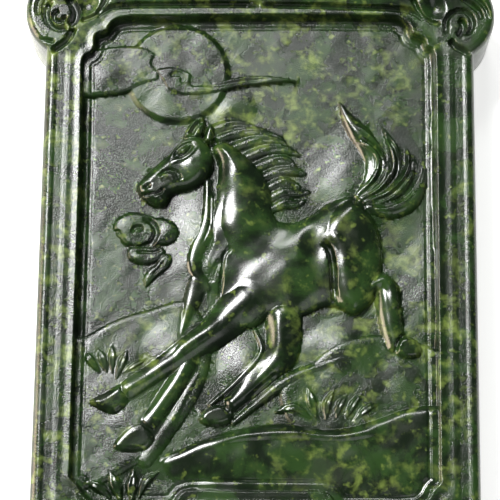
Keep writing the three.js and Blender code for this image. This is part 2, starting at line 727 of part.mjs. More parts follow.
function headStep() {
  const y = panelTopY + headStepRise;
  const reach = panelWidth / 2 - headStepEnd;
  const half = [
    [reach + headStepTurn, y - headStepTurn],
    [reach, y - headStepTurn / 3],
    [reach - headStepBend, y],
  ];
  const points = [...half.map(([x, at]) => [-x, at]), ...half.toReversed()];
  return roundCut(points, headStepWidth / 2, headStepDepth, headStepSteps);
}

function backLine() {
  const width = bodyWidth - 2 * backLineInset;
  const low = -length / 2 + backLineInset;
  const high = panelTopY;
  const ring = roundedRectangle(width, low, high, cornerRadius);
  const w = backLineWidth;
  ring.holes.push(roundedRectangle(width - 2 * w, low + w, high - w, cornerRadius - w));
  const geometry = new THREE.ExtrudeGeometry(ring, {
    depth: backLineDepth + past,
    bevelEnabled: false,
    curveSegments: 4,
  });
  return solid(geometry.translate(0, 0, -past));
}

function hole() {
  const geometry = new THREE.CylinderGeometry(cordHole / 2, cordHole / 2, thickness + 2 * past, holeSides);
  return solid(geometry.rotateX(Math.PI / 2).translate(0, crownY, thickness / 2));
}

function amulet() {
  let body = tablet().add(headPlate()).add(neck());
  for (const side of [-1, 1]) {
    body = body.add(lobe(side * earX, panelTopY + earRise, earRadius));
    body = body.add(lobe(side * shoulderReach, panelTopY + shoulderRise, shoulderRadius));
  }
  body = body.add(lobe(0, crownY, crownRadius));
  body = body.subtract(recess()).add(solid(reliefBlock()));
  for (const cut of [channel(), headStep(), volute(-1), volute(1), backLine(), hole()]) {
    body = body.subtract(cut);
  }
  return body;
}

const jade = new THREE.MeshStandardMaterial({ color: 0x2f4a22, roughness: 0.22, metalness: 0 });
const piece = new THREE.Mesh(geometryOf(amulet()), jade);
piece.name = 'jade_amulet';

const group = new THREE.Group();
group.add(piece);

export default group;
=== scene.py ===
"""A carved jade amulet on a pale table: a tablet with a moulded frame, a sunk panel with a leaping
horse, and a cloud-shaped head with a cord hole.

The face is drawn in millimetres. x runs to the right and y towards the head, from the middle of the
panel for all that is drawn on the face, and from the middle of the tablet for its outline.
"""

import math

import bpy
import numpy as np
from bpy.props import FloatProperty, FloatVectorProperty, IntProperty, PointerProperty
from mathutils import Matrix, Vector


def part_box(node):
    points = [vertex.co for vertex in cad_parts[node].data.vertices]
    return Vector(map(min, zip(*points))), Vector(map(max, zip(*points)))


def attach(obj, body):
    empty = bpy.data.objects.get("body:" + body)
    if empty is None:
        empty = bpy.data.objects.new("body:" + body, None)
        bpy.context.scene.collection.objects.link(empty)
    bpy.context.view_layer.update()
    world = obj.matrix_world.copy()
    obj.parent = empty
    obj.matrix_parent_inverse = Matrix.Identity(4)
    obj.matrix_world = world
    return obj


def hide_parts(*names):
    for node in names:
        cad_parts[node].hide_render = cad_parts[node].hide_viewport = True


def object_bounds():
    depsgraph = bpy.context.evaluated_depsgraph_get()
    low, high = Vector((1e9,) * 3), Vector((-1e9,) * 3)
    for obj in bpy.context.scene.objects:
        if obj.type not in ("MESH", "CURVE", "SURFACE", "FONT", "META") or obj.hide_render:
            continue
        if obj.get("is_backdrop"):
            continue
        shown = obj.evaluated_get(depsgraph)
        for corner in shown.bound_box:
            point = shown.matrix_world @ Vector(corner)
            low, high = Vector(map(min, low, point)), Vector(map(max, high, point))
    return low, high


bl_info = {
    "name": "Jade amulet",
    "version": (1, 0, 0),
    "blender": (4, 5, 0),
    "location": "3D View > Sidebar > Amulet",
    "description": "Carves a jade tablet with a leaping horse and lays it on a pale table",
    "category": "Add Mesh",
}

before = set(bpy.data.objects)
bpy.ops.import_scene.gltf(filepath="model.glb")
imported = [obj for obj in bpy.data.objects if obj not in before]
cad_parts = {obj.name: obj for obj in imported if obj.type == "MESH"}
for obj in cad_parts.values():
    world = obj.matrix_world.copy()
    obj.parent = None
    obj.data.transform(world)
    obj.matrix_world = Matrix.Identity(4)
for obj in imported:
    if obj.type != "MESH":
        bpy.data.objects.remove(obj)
CAD_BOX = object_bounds()
NODE = "jade_amulet"
MM = 0.001
# Keeps a division away from nothing
TINY = 1e-9


def length(name, default, description):
    """A length that the user can change, with its default in millimetres."""
    return FloatProperty(name=name, description=description, default=default * MM, unit="LENGTH")


def tint(name, default, description):
    """A colour that the user can change."""
    return FloatVectorProperty(
        name=name, description=description, default=default, size=3, subtype="COLOR")


class TabletSizes(bpy.types.PropertyGroup):
    """Sizes of the tablet and its carving"""

    frame_width: length("Frame width", 39.0, "Width of the tablet below the head")
    edge_round: length("Edge rounding", 0.8, "Radius of the tablet's edges, front and back")
    corner_radius: length("Corner radius", 2.6, "Radius of the two lower corners")
    ear_radius: length("Ear radius", 4.5, "Radius of the scroll at each end of the head")
    shoulder_radius: length("Shoulder radius", 5.4, "Radius of the lobe between ear and crown")
    crown_radius: length("Crown radius", 4.6, "Radius of the lobe with the cord hole")
    cord_hole: length("Cord hole", 2.5, "Width of the hole in the crown")
    panel_height: length("Panel height", 45.6, "Height of the sunk panel")
    foot_border: length("Foot border", 3.3, "Height of the frame below the panel")
    recess_depth: length("Panel depth", 1.3, "Depth of the panel's ground below the frame")
    relief_height: length("Relief height", 1.15, "Height of the horse over the panel's ground")
    back_line_inset: length("Back line inset", 3.4, "Distance of the line on the back from the edge")
    back_line_width: length("Back line width", 0.7, "Width of the line cut in the back")
    grid_step: length("Grid step", 0.12, "Cell size of the face before it is thinned out")
    triangles: IntProperty(
        name="Triangles", description="Number of triangles that the finished piece may have",
        default=190000)


class JadeFinish(bpy.types.PropertyGroup):
    """Colours and polish of the stone"""

    deep_green: tint("Deep green", (0.005, 0.012, 0.004), "Colour of most of the stone")
    leaf_green: tint("Leaf green", (0.022, 0.056, 0.012), "Colour of the soft clouds in the stone")
    moss_yellow: tint("Moss yellow", (0.17, 0.24, 0.05), "Colour of the light mottles")
    ash_grey: tint("Ash grey", (0.045, 0.055, 0.04), "Colour of the dull patches")
    polished: FloatProperty(
        name="Polished roughness", description="Roughness of the polished forms", default=0.2)
    satin: FloatProperty(
        name="Satin roughness", description="Roughness of the panel's ground", default=0.2)


class StudioSettings(bpy.types.PropertyGroup):
    """Camera and light"""

    camera_tilt: FloatProperty(
        name="Camera tilt", description="Angle between the view and straight down",
        default=math.radians(15.0), subtype="ANGLE")
    camera_roll: FloatProperty(
        name="Camera roll", description="Turn of the camera about its view",
        default=math.radians(0.67), subtype="ANGLE")
    camera_distance: length(
        "Camera distance", 189.5, "Distance from the camera to the middle of the view")
    focal_length: FloatProperty(
        name="Focal length", description="Focal length of the lens in millimetres", default=153.8)
    key_power: FloatProperty(
        name="Key light", description="Power of the large soft light at the upper left", default=8.0)
    floor_colour: tint("Table colour", (0.9, 0.9, 0.89), "Colour of the table")


# Lines and forms of the carving. A form gives heights at places, and is nothing outside itself


def smooth_line(points, closed=False, share=5):
    """Places along a smooth line through the points, with the half width as a third number."""
    knots = np.array([(*p, 0.0)[:3] for p in points], float)
    if closed:
        knots = np.vstack([knots[-1:], knots, knots[:2]])
    else:
        knots = np.vstack([2 * knots[0] - knots[1], knots, 2 * knots[-1] - knots[-2]])
    gaps = np.maximum(np.linalg.norm(np.diff(knots, axis=0), axis=1), TINY) ** 0.5
    before, here, after = (gaps[i:len(gaps) - 2 + i, None, None] for i in range(3))
    p0, p1, p2, p3 = (knots[i:len(knots) - 3 + i, None, :] for i in range(4))
    start = ((p1 - p0) / before - (p2 - p0) / (before + here) + (p2 - p1) / here) * here
    end = ((p2 - p1) / here - (p3 - p1) / (here + after) + (p3 - p2) / after) * here
    t = (np.arange(share) / share)[None, :, None]
    line = (p1 + start * t + (3 * (p2 - p1) - 2 * start - end) * t ** 2
            + (2 * (p1 - p2) + start + end) * t ** 3)
    return np.vstack([line.reshape(-1, 3), knots[-2]])


def nearest(line, x, y):
    """The distance from each place to a line, and how far along the line that is, in its steps."""
    best = np.full(x.shape, np.inf)
    place = np.zeros(x.shape)
    for k, (start, step) in enumerate(zip(line[:-1], np.diff(line, axis=0))):
        dx = x - start[0]
        dy = y - start[1]
        span = max(step[0] ** 2 + step[1] ** 2, TINY)
        along = np.clip((dx * step[0] + dy * step[1]) / span, 0, 1)
        gap = (dx - step[0] * along) ** 2 + (dy - step[1] * along) ** 2
        closer = gap < best
        np.copyto(best, gap, where=closer)
        np.copyto(place, k + along, where=closer)
    return np.sqrt(best), place


def is_inside(line, x, y):
    """Whether each place lies inside a closed line."""
    inside = np.zeros(x.shape, bool)
    for a, b in zip(line[:-1], line[1:]):
        if a[1] == b[1]:
            continue
        crosses = (a[1] > y) != (b[1] > y)
        inside ^= crosses & (x < (b[0] - a[0]) * (y - a[1]) / (b[1] - a[1]) + a[0])
    return inside


def near_line(line, margin, shape):
    """A form that is worked out only inside the box of its line, and is nothing elsewhere."""
    low = line[:, :2].min(axis=0) - margin
    high = line[:, :2].max(axis=0) + margin

    def form(x, y):
        heights = np.zeros(x.shape)
        hit = np.flatnonzero((x > low[0]) & (x < high[0]) & (y > low[1]) & (y < high[1]))
        if hit.size:
            heights[hit] = shape(x[hit], y[hit])
        return heights

    return form


def strand(height, points, fullness=0.8):
    """A rounded strand whose width follows its points, lower where it is thinner."""
    line = smooth_line(points)
    widest = line[:, 2].max()

    def shape(x, y):
        distance, place = nearest(line, x, y)
        radius = np.maximum(np.interp(place, np.arange(len(line)), line[:, 2]), TINY)
        dome = np.maximum(1 - (distance / radius) ** 2, 0) ** fullness
        return height * np.sqrt(radius / widest) * dome

    return near_line(line, widest, shape)


def cushion(height, rim, points):
    """A cushion inside a closed outline, which rises over its rim and is level beyond."""
    line = smooth_line(points, closed=True)

    def shape(x, y):
        heights = np.zeros(x.shape)
        hit = np.flatnonzero(is_inside(line, x, y))
        short = 1 - np.minimum(nearest(line, x[hit], y[hit])[0] / rim, 1)
        heights[hit] = height * np.sqrt(1 - short ** 2)
        return heights

    return near_line(line, 0, shape)


def groove(depth, width, points, fade=0.2):
    """A groove or a bead along a line, which fades out at both ends."""
    line = smooth_line(points)

    def shape(x, y):
        distance, place = nearest(line, x, y)
        along = place / (len(line) - 1)
        ends = np.minimum(1, np.minimum(along, 1 - along) / fade)
        return depth * ends * np.maximum(1 - (distance / width) ** 2, 0) ** 1.5

    return near_line(line, width, shape)


def slopes(surface, x, y, reach):
    """How steeply a surface rises across and up, from its heights a little to each side."""
    across = (surface(x + reach, y) - surface(x - reach, y)) / (2 * reach)
    upwards = (surface(x, y + reach) - surface(x, y - reach)) / (2 * reach)
    return across, upwards


def ramp(value, start, width):
    """Rises evenly from 0 at the start to 1 over a width."""
    return np.clip((value - start) / width, 0, 1)


def swell(amount, cx, cy, rx, ry, turn=0.0):
    """A soft swelling, or a hollow where the amount is negative, turned by an angle in degrees."""
    cos, sin = math.cos(math.radians(turn)), math.sin(math.radians(turn))

    def form(x, y):
        along = ((x - cx) * cos + (y - cy) * sin) / rx
        across = ((y - cy) * cos - (x - cx) * sin) / ry
        return amount * np.maximum(1 - along ** 2 - across ** 2, 0) ** 2

    return form


def highest(*forms):
    """The highest of several forms."""
    return lambda x, y: np.maximum.reduce([form(x, y) for form in forms])


def melt(*forms, blend=0.45):
    """Several forms joined by soft folds."""

    def form(x, y):
        top = np.zeros(x.shape)
        for other_form in forms:
            other = other_form(x, y)
            width = np.minimum(blend, 2 * np.minimum(top, other))
            near = np.maximum(width - np.abs(top - other), 0) / np.maximum(width, TINY)
            top = np.maximum(top, other) + near ** 2 * width / 4
        return top

    return form


def carved(form, beads=(), grooves=()):
    """A form with swellings and beads, which fade where it is thin, and grooves in it."""
    firm = 0.5

    def shape(x, y):
        base = form(x, y)
        hit = np.flatnonzero(base > 0)
        heights = np.zeros(x.shape)
        rise = sum((bead(x[hit], y[hit]) for bead in beads), np.zeros(hit.size))
        cut = np.maximum.reduce([np.zeros(hit.size)] + [line(x[hit], y[hit]) for line in grooves])
        heights[hit] = np.maximum(base[hit] + rise * np.minimum(1, base[hit] / firm) - cut, 0)
        return heights

    return shape


# The relief in the panel, as shares of its height, from the sky down to the ground


def moon():
    """The moon behind the long cloud."""
    centre = (-7.5, 17.2)
    radius = 4.9
    rim = 0.6
    rise = 0.3
    crown = 0.08

    def form(x, y):
        inward = radius - np.hypot(x - centre[0], y - centre[1])
        t = ramp(inward, 0, rim)
        return rise * t * t * (3 - 2 * t) + crown * ramp(inward, 0, radius)

    return form


def long_cloud():
    """The long cloud across the moon: a broad lobe and a curl that trails to the right."""
    lobe = cushion(0.42, 0.45, [
        (-16.4, 15), (-14, 14.95), (-12.2, 15.25), (-10.3, 16.1), (-9.2, 16.4), (-9, 17.2),
        (-9.7, 18.2), (-9.4, 19), (-10.4, 19.7), (-12.6, 19.85), (-14.6, 19.6), (-16.4, 19)])
    curl = cushion(0.46, 0.36, [
        (-9.6, 17.5), (-8.4, 17.85), (-7.1, 17.7), (-6.1, 17.1), (-6.2, 16.2), (-4, 16.45),
        (-2, 16.95), (1, 17.1), (3.5, 16.6), (1, 16.3), (-2, 15.85), (-4, 15.3), (-6.8, 15),
        (-8.3, 15.5), (-8.9, 16.4)])
    return highest(
        carved(lobe, [swell(0.14, -14, 17, 2.4, 1.8)]),
        carved(curl, grooves=[
            groove(0.2, 0.28, [(-8.2, 16.9), (-7.4, 17.1), (-6.9, 16.7), (-7.2, 16.2)]),
            groove(0.14, 0.25, [(-5.6, 16), (-3.6, 16.1), (-1.4, 16.5), (1, 16.7)])]))


def small_cloud():
    """The small curled cloud before the horse's chest."""
    curl = cushion(0.4, 0.5, [
        (-13, 2.6), (-12.75, 3.4), (-12.1, 3.86), (-11.2, 4.05), (-10.1, 3.9), (-9.2, 3.55),
        (-8.4, 3.5), (-7.7, 3.2), (-7.25, 2.7), (-7.1, 2.05), (-7.4, 1.4), (-8, 1.05),
        (-8.8, 0.95), (-9.8, 0.85), (-11, 0.65), (-11.7, 0.9), (-12.5, 1.7)])
    foot = cushion(0.36, 0.45, [
        (-11.5, 0.8), (-11.65, -0.1), (-11.1, -0.6), (-10.3, -0.85), (-9.5, -0.75), (-8.8, -0.4),
        (-8.2, 0.3), (-8.6, 0.8), (-10, 0.8)])
    trail = cushion(0.32, 0.42, [
        (-8.6, 0.1), (-8, 0.2), (-7.6, -0.35), (-7.9, -1.05), (-8.6, -1.65), (-9.3, -2.3),
        (-9.95, -2.9), (-10.2, -2.1), (-9.8, -1.3), (-9.1, -0.7)])
    return highest(
        carved(curl, [swell(0.08, -11.6, 2.6, 1.4, 1.3), swell(0.1, -8.1, 2.2, 0.8, 1)], [
            groove(0.4, 0.38, [(-10.4, 3.35), (-9.6, 3.1), (-9.15, 2.4), (-9.2, 1.75), (-9.6, 1.15),
                               (-10.2, 0.8), (-11, 0.6), (-11.8, 0.8)], 0.12),
            groove(0.3, 0.26, [(-11.3, 1.9), (-11.05, 2.5), (-10.5, 2.6), (-10.3, 2.1)], 0.3),
            groove(0.24, 0.2, [(-12.9, 2.2), (-12.5, 2.2), (-12.3, 1.9)], 0.1)]),
        carved(foot, [swell(0.06, -10.6, -0.1, 0.8, 0.5)], [
            groove(0.22, 0.2, [(-10.9, 0.3), (-10.2, 0.35), (-9.3, 0.3), (-8.6, 0.5)])]),
        carved(trail, grooves=[groove(0.14, 0.2, [(-8.4, -0.5), (-8.7, -1.1), (-9.4, -1.8)])]))


def hills():
    """The hills behind the horse, a bank of earth, and soft folds of the ground."""
    return highest(
        cushion(0.24, 0.6, [
            (-16.6, -8), (-14.9, -7.2), (-13, -6.1), (-9.7, -4.9), (-6, -4.2), (-4, -9), (-8, -17),
            (-16.6, -21)]),
        cushion(0.3, 0.7, [
            (2, -12), (4.4, -9.9), (6.5, -8.3), (10, -7), (14, -7.6), (16.6, -9), (16.6, -16),
            (4, -16)]),
        strand(0.42, [
            (-2, -15, 0.3), (0.6, -12.8, 0.5), (3, -11, 0.65), (6.2, -9.7, 0.5), (9, -8.6, 0.2)]),
        strand(0.34, [(-4.8, -10.1, 0.4), (-6.4, -13, 0.65), (-7.8, -15.7, 0.8), (-9.6, -18.3, 0.8)]))


def front_bank():
    """The raised bank in front, which falls away towards the foot of the panel."""
    bank = cushion(0.66, 1.0, [
        (-8.4, -18.6), (-6, -17.1), (-3.6, -16.1), (0, -15.2), (3, -15), (5.8, -15.45),
        (8.2, -15.2), (11, -14.3), (13.6, -13.4), (16.8, -13.6), (16.8, -23.6), (-5, -23.6)])
    return carved(bank, [
        swell(-0.34, 3, -22.6, 14, 5.4),
        swell(-0.7, -8.6, -21.2, 7.6, 5.6),
        groove(0.1, 0.5, [(-4, -17), (-2, -16.4), (1, -16.1), (3.7, -16), (7, -16.2), (9.5, -15.9),
                          (10.7, -15.5)])])


def leaf(height, width, root, middle, tip):
    """A leaf: a strand that swells in the middle, with a line down its length."""
    root_share = 0.35
    tip_share = 0.2
    points = [(*root, root_share * width), (*middle, width), (*tip, tip_share * width)]
    return carved(strand(height, points), grooves=[groove(0.22 * height, 0.4 * width, points, 0.3)])


def tufts():
    """Three tufts of pointed leaves."""
    return highest(
        leaf(0.5, 0.5, (-13.8, -10.7), (-14.7, -9.5), (-15.3, -8.7)),
        leaf(0.55, 0.52, (-13.2, -10.6), (-13.6, -9.4), (-14, -8.5)),
        leaf(0.55, 0.45, (-12.7, -10.7), (-12.75, -9.2), (-12.8, -8.1)),
        leaf(0.55, 0.52, (-12.3, -11.2), (-11.8, -9.5), (-11.4, -8.6)),
        leaf(0.5, 0.42, (-11.8, -10.7), (-10.7, -9.9), (-9.4, -9.2)),
        leaf(0.5, 0.55, (-12.6, -21.6), (-13.7, -20.7), (-14.8, -20.3)),
        leaf(0.5, 0.6, (-11.7, -21.8), (-12.2, -20.5), (-12.7, -19.3)),
        leaf(0.5, 0.62, (-10.7, -21.8), (-10.7, -20.5), (-10.6, -19.3)),
        leaf(0.5, 0.42, (-10.1, -21.6), (-9.5, -20.2), (-8.4, -19.4)),
        leaf(0.6, 0.6, (4.8, -14.6), (3.3, -13.6), (1.7, -14)),
        leaf(0.66, 0.6, (5.3, -14.5), (4.8, -13), (4.5, -11.7)),
        leaf(0.66, 0.55, (6.1, -14.6), (6.2, -13.2), (6.9, -11.8)),
        leaf(0.62, 0.5, (7, -14.5), (7.3, -13.3), (8.1, -12.2)),
        leaf(0.62, 0.5, (7.8, -14.6), (8.5, -13.2), (9.4, -12.1)),
        leaf(0.58, 0.55, (8.6, -14.6), (9.7, -13.6), (11, -13)))


def mane():
    """The mane: soft locks that lie over one another behind the crest."""
    locks = [
        [(-4.6, 11.6, 0.6), (-3, 12.3, 0.6), (-1.4, 12.4, 0.45), (-0.4, 12.2, 0.15)],
        [(-3.6, 11.1, 0.5), (-1.6, 11.7, 0.58), (0.2, 11.7, 0.5), (2, 11.2, 0.15)],
        [(-2.4, 10.2, 0.5), (-0.4, 10.9, 0.6), (1.6, 10.9, 0.5), (2.6, 10.3, 0.2)],
        [(-1, 9.4, 0.5), (0.6, 10, 0.62), (2.2, 10.1, 0.55), (3.6, 9.6, 0.2)],
        [(-0.2, 8.4, 0.5), (1.3, 9, 0.62), (2.4, 9, 0.55), (3.2, 8.6, 0.25)],
        [(0.4, 7.4, 0.5), (1.7, 8, 0.62), (3, 8.1, 0.55), (4.1, 7.8, 0.25)],
        [(0.8, 6.4, 0.5), (2, 7, 0.62), (2.8, 6.9, 0.5), (3.6, 6.6, 0.25)],
        [(1, 5.4, 0.5), (2.2, 6.05, 0.6), (3.4, 6, 0.5), (4.5, 6.1, 0.2)],
        [(1.2, 4.5, 0.45), (2.4, 5.05, 0.6), (3.2, 4.95, 0.5), (4, 5.2, 0.25)]]
    height = 0.32
    hair_depth = 0.09
    hair_width = 0.2
    hairs = [[place[:2] for place in lock[1:]] for lock in locks]
    return carved(
        melt(*[strand(height, lock) for lock in locks], blend=0.12),
        [swell(0.12, 3, 7.6, 1.6, 4)],
        [groove(hair_depth, hair_width, hair) for hair in hairs])


def tail():
    """The tail: four broad locks with sharp ridges and furrows along them."""
    locks = [
        [(9.9, 4.6, 0.5), (12, 4.5, 0.85), (13.7, 5.3, 0.8), (14.6, 6.8, 0.55), (15, 8.7, 0.1)],
        [(9.7, 5.2, 0.5), (11.6, 5.9, 0.75), (13, 7.2, 0.75), (13.6, 8.7, 0.5), (13.3, 10.4, 0.1)],
        [(9.4, 5.5, 0.5), (11.3, 7, 0.8), (12.1, 8.6, 0.7), (12.1, 10.2, 0.6), (11.2, 12.2, 0.1)],
        [(9, 5.7, 0.4), (10.1, 7, 0.75), (10.5, 8.8, 0.95), (10, 10.4, 1.05), (8.9, 11.9, 0.95),
         (8, 13.1, 0.6), (7.3, 14.6, 0.15)]]
    height = 0.55
    step = 0.05
    furrows = [
        [(8.9, 5.7), (9.9, 6.4), (10.7, 7.4), (11.05, 8.6), (10.9, 9.7), (10, 10.6), (9.2, 11.1)],
        [(9.1, 5.6), (10.4, 6.4), (11.3, 7.4), (11.7, 8.8), (11.4, 10.1), (10.6, 11.2), (9.8, 11.9)],
        [(9.4, 5.3), (11, 6.2), (12.1, 7.4), (12.5, 8.8), (12.2, 10.2), (11.4, 11.6)],
        [(9.8, 5), (11.6, 5.7), (12.9, 6.9), (13.7, 8.3), (13.7, 9.8)],
        [(10.2, 4.7), (12, 5), (13.5, 5.9), (14.3, 7.2), (14.7, 8.5)]]
    ridges = [
        [(9, 5.9), (9.9, 6.8), (10.6, 7.8), (10.85, 8.7), (10.5, 9.7), (9.6, 10.5), (8.9, 10.8)],
        [(10.7, 6.5), (11.5, 7.7), (11.5, 9), (11, 10.2), (10, 11.4), (8.9, 12.4)],
        [(11.4, 6.9), (12.1, 8), (12.15, 9.2), (11.6, 10.7), (10.8, 12)],
        [(10.9, 5.5), (12.4, 6.5), (13.4, 8), (13.4, 10)],
        [(11.4, 4.8), (13, 5.3), (14.1, 6.6), (14.6, 8.2)]]
    return carved(
        highest(*[strand(height + step * order, lock, 0.7) for order, lock in enumerate(locks)]),
        [groove(0.16, 0.3, ridge) for ridge in ridges],
        [groove(0.3, 0.26, furrow, 0.12) for furrow in furrows])


def far_legs():
    """The foreleg and the hind leg on the far side, and two straps of muscle."""
    fore = melt(
        strand(0.62, [(-6, -9.8, 0.9), (-7.3, -12, 1.1), (-8.5, -13.9, 1.05), (-9.4, -15.3, 0.95)]),
        cushion(0.62, 0.6, [
            (-10.3, -15.2), (-12.5, -17.1), (-12.2, -17.6), (-9.4, -17.5), (-8.8, -16.4)]))
    hind = melt(
        strand(0.78, [
            (2.3, -5.4, 1.7), (2.4, -7.3, 1.6), (2.1, -9, 1.5), (0.9, -10.4, 1.2),
            (-0.5, -11.8, 1), (-2, -13.2, 0.85)]),
        cushion(0.62, 0.6, [
            (-3.3, -13.4), (-4.7, -14), (-5, -14.9), (-3.6, -15.4), (-2.1, -14.9), (-2.2, -13.8)]))
    return highest(
        strand(0.4, [(-5.3, -2.4, 0.9), (-6.1, -5, 0.75), (-6.75, -7.4, 0.3)]),
        strand(0.34, [
            (-0.2, -6.7, 0.25), (0.45, -8.3, 0.3), (0, -9.5, 0.3), (-1.6, -11.2, 0.3),
            (-4, -13.4, 0.3)]),
        carved(fore, grooves=[groove(0.28, 0.26, [(-10.2, -14.9), (-9.6, -15.5), (-8.8, -16)])]),
        carved(hind, [swell(0.1, 1.8, -7.2, 1, 2.2)], [
            groove(0.28, 0.26, [(-3.3, -13.3), (-2.7, -13.8), (-2.2, -14.4)]),
            groove(0.16, 0.3, [(1.9, -10.5), (0.6, -11.6), (-0.9, -13)])]))


def trunk():
    """The horse's neck, trunk, haunch and near legs."""
    body = cushion(0.86, 2.5, [
        (-4.2, 10.2), (-3.2, 10.75), (-1.2, 9.4), (0.4, 7.8), (1.2, 5.8), (1.45, 3.7), (2.6, 3.15),
        (4.4, 3.75), (6.2, 5), (8.4, 5.6), (9.9, 4.3), (11, 2), (11.1, -0.8), (10.3, -3.8),
        (8.6, -5.3), (7.1, -4.6), (5.8, -4.6), (4, -5.4), (1.6, -5.2), (-0.6, -6.6), (-3, -5.6),
        (-3.4, -4), (-4.2, -2.6), (-4.6, -0.6), (-3.9, 1.3), (-4.05, 3), (-3.75, 6), (-3.7, 8.6)])
    haunch = cushion(0.96, 1.2, [
        (6, 1.7), (6.9, 0.4), (7.2, -1.6), (7.2, -4.3), (8.6, -5.3), (10.2, -4), (11, -1.6),
        (11.1, 1), (10.2, 3.7), (8.4, 5.3), (6.6, 4)])
    foreleg = strand(0.92, [
        (-0.8, -3.8, 2.1), (-3.5, -6.6, 1.6), (-6.2, -8.7, 1.32), (-8.9, -10.6, 1.14),
        (-11.2, -12.2, 1.08)])
    cannon = strand(0.76, [
        (11.2, -2.2, 0.85), (11.6, -4.2, 1.15), (11.9, -6.2, 1.12), (12.2, -7.9, 0.95)], 0.7)
    hock = strand(0.8, [
        (9.2, -3.7, 0.75), (10.2, -2.6, 0.8), (11.1, -2.1, 0.75), (11.9, -2.9, 0.75),
        (12.1, -4.4, 0.6)])
    fore_hoof = cushion(0.72, 0.7, [
        (-11.9, -11.7), (-13.3, -12.5), (-14.7, -13.3), (-13.6, -14.1), (-12.2, -14.4),
        (-11.1, -13.1)])
    hind_hoof = cushion(0.7, 0.6, [
        (13, -7.1), (14, -7.4), (14.6, -8.3), (14.3, -9.1), (12.9, -9.2), (12, -8.5),
        (12.3, -7.7)])
    neck_band = strand(0.5, [
        (-4.6, 6.9, 0.4), (-4.5, 4, 0.55), (-4.7, 2, 0.65), (-5.5, 0.3, 0.7), (-5.6, -1.2, 0.6),
        (-4.4, -3, 0.3)])
    return highest(
        carved(neck_band, grooves=[
            groove(0.2, 0.16, [(-4.4, 6.4), (-4.3, 4.4), (-4.4, 2.6), (-5.1, 0.9)])]),
        carved(melt(body, haunch, foreleg), [
            groove(0.08, 2.2, [(-2.2, -4.2), (-0.8, -2.8), (0.8, -2.1), (2.8, -1.9), (5, -2.3)], 0.3),
            swell(-0.4, -3.8, -2.2, 5.6, 5.4),
            swell(0.16, 4.2, -0.8, 5.6, 4.2),
            groove(0.14, 1.0, [(-2.9, -5.1), (-4.4, -6.4), (-6.2, -7.7), (-7.6, -8.7)]),
            swell(-0.26, 11.6, 0, 3.8, 6.4),
            groove(0.1, 0.7, [(6, 2.2), (7, 1.4), (7.4, 0), (7.5, -1.6), (7.6, -3.4)]),
            swell(-0.1, 1, 1.8, 3.4, 1.8),
            swell(-0.16, 4.9, 0.4, 1.5, 3),
            swell(0.08, -1.7, 3, 1.9, 3.2, 6),
            swell(0.18, -2.1, 8.6, 2.4, 3.4)], [
            groove(0.5, 0.42, [(5.7, 1.3), (6.3, 0.7), (6.65, -0.8), (6.75, -2.6), (6.9, -4.3)]),
            groove(0.34, 0.26, [(-2.4, 0.8), (-3, 0), (-3.2, -2), (-3.3, -3.8)]),
            groove(0.42, 0.36, [(-3.3, -0.3), (-3.8, -1.3), (-4.2, -2.4)]),
            groove(0.38, 0.26, [(-3.5, -3.9), (-2.9, -4.4), (-2.1, -4.7)])]),
        carved(highest(fore_hoof, foreleg), grooves=[
            groove(0.34, 0.26, [(-12, -11.9), (-11.4, -12.5), (-10.9, -13.2)])]),
        carved(melt(cannon, hock, hind_hoof), grooves=[
            groove(0.34, 0.26, [(13, -6.9), (12.4, -7.8), (12.2, -8.8)])]))


def head():
    """The horse's head, with its eye, nostril, mouth, cheek and ears."""
    skull = cushion(1, 1.1, [
        (-6.8, 11), (-8.4, 9.3), (-10.4, 7.4), (-11, 6.4), (-10.5, 5.3), (-9.3, 4.5), (-8.3, 4.6),
        (-7.7, 5.6), (-6, 6.1), (-4.7, 7), (-4, 8.5), (-4.4, 10.1), (-5.4, 11.2)])
    front_ear = cushion(0.9, 0.45, [
        (-6.9, 10.9), (-6.5, 12.1), (-5.1, 13.1), (-4.9, 11.9), (-5.5, 10.8)])
    back_ear = cushion(0.85, 0.4, [
        (-5, 10.5), (-4.9, 11.5), (-4.4, 12.5), (-4, 11.6), (-4.3, 10.5)])
    return highest(
        carved(front_ear, grooves=[groove(0.4, 0.34, [(-6.2, 11.1), (-5.8, 11.9), (-5.2, 12.6)])]),
        back_ear,
        carved(skull, [
            swell(0.14, -5.5, 8.4, 1.6, 1.7),
            swell(-0.12, -6.9, 9.6, 1.8, 1.2, 45),
            swell(0.22, -6.85, 9.62, 0.7, 0.46, 40),
            groove(0.12, 0.34, [(-8.1, 8.75), (-7.6, 9.65), (-6.9, 10.35), (-5.9, 10.75)]),
            groove(0.1, 0.3, [(-7.9, 8.55), (-7, 8.75), (-6.2, 9.3), (-5.6, 10.1)]),
            groove(0.14, 0.36, [(-8.9, 6.9), (-8.3, 7.2), (-7.5, 7)])], [
            groove(0.26, 0.24, [(-9, 7.1), (-8.5, 7.6), (-7.9, 7.75), (-7.3, 7.5), (-6.9, 6.8)]),
            groove(0.3, 0.22, [(-10.6, 5.5), (-9.5, 5.5), (-8.8, 5.7), (-8.5, 6.2)]),
            groove(0.15, 0.17, [(-7.7, 9), (-7.3, 9.75), (-6.7, 10.2), (-6, 10.4)]),
            groove(0.13, 0.17, [(-7.6, 8.95), (-6.9, 9.1), (-6.3, 9.6), (-6, 10.3)]),
            groove(0.34, 0.3, [(-10.3, 5.9), (-10, 6.25), (-9.6, 6.3)], 0.4)]))


def polished_relief():
    """All of the relief that the carver has polished."""
    return highest(front_bank(), tufts(), tail(), far_legs(), trunk(), head())


def satin_relief():
    """The relief that is left as dull as the ground."""
    return highest(moon(), long_cloud(), small_cloud(), hills(), mane())


# The frame and the head, as depths below the face

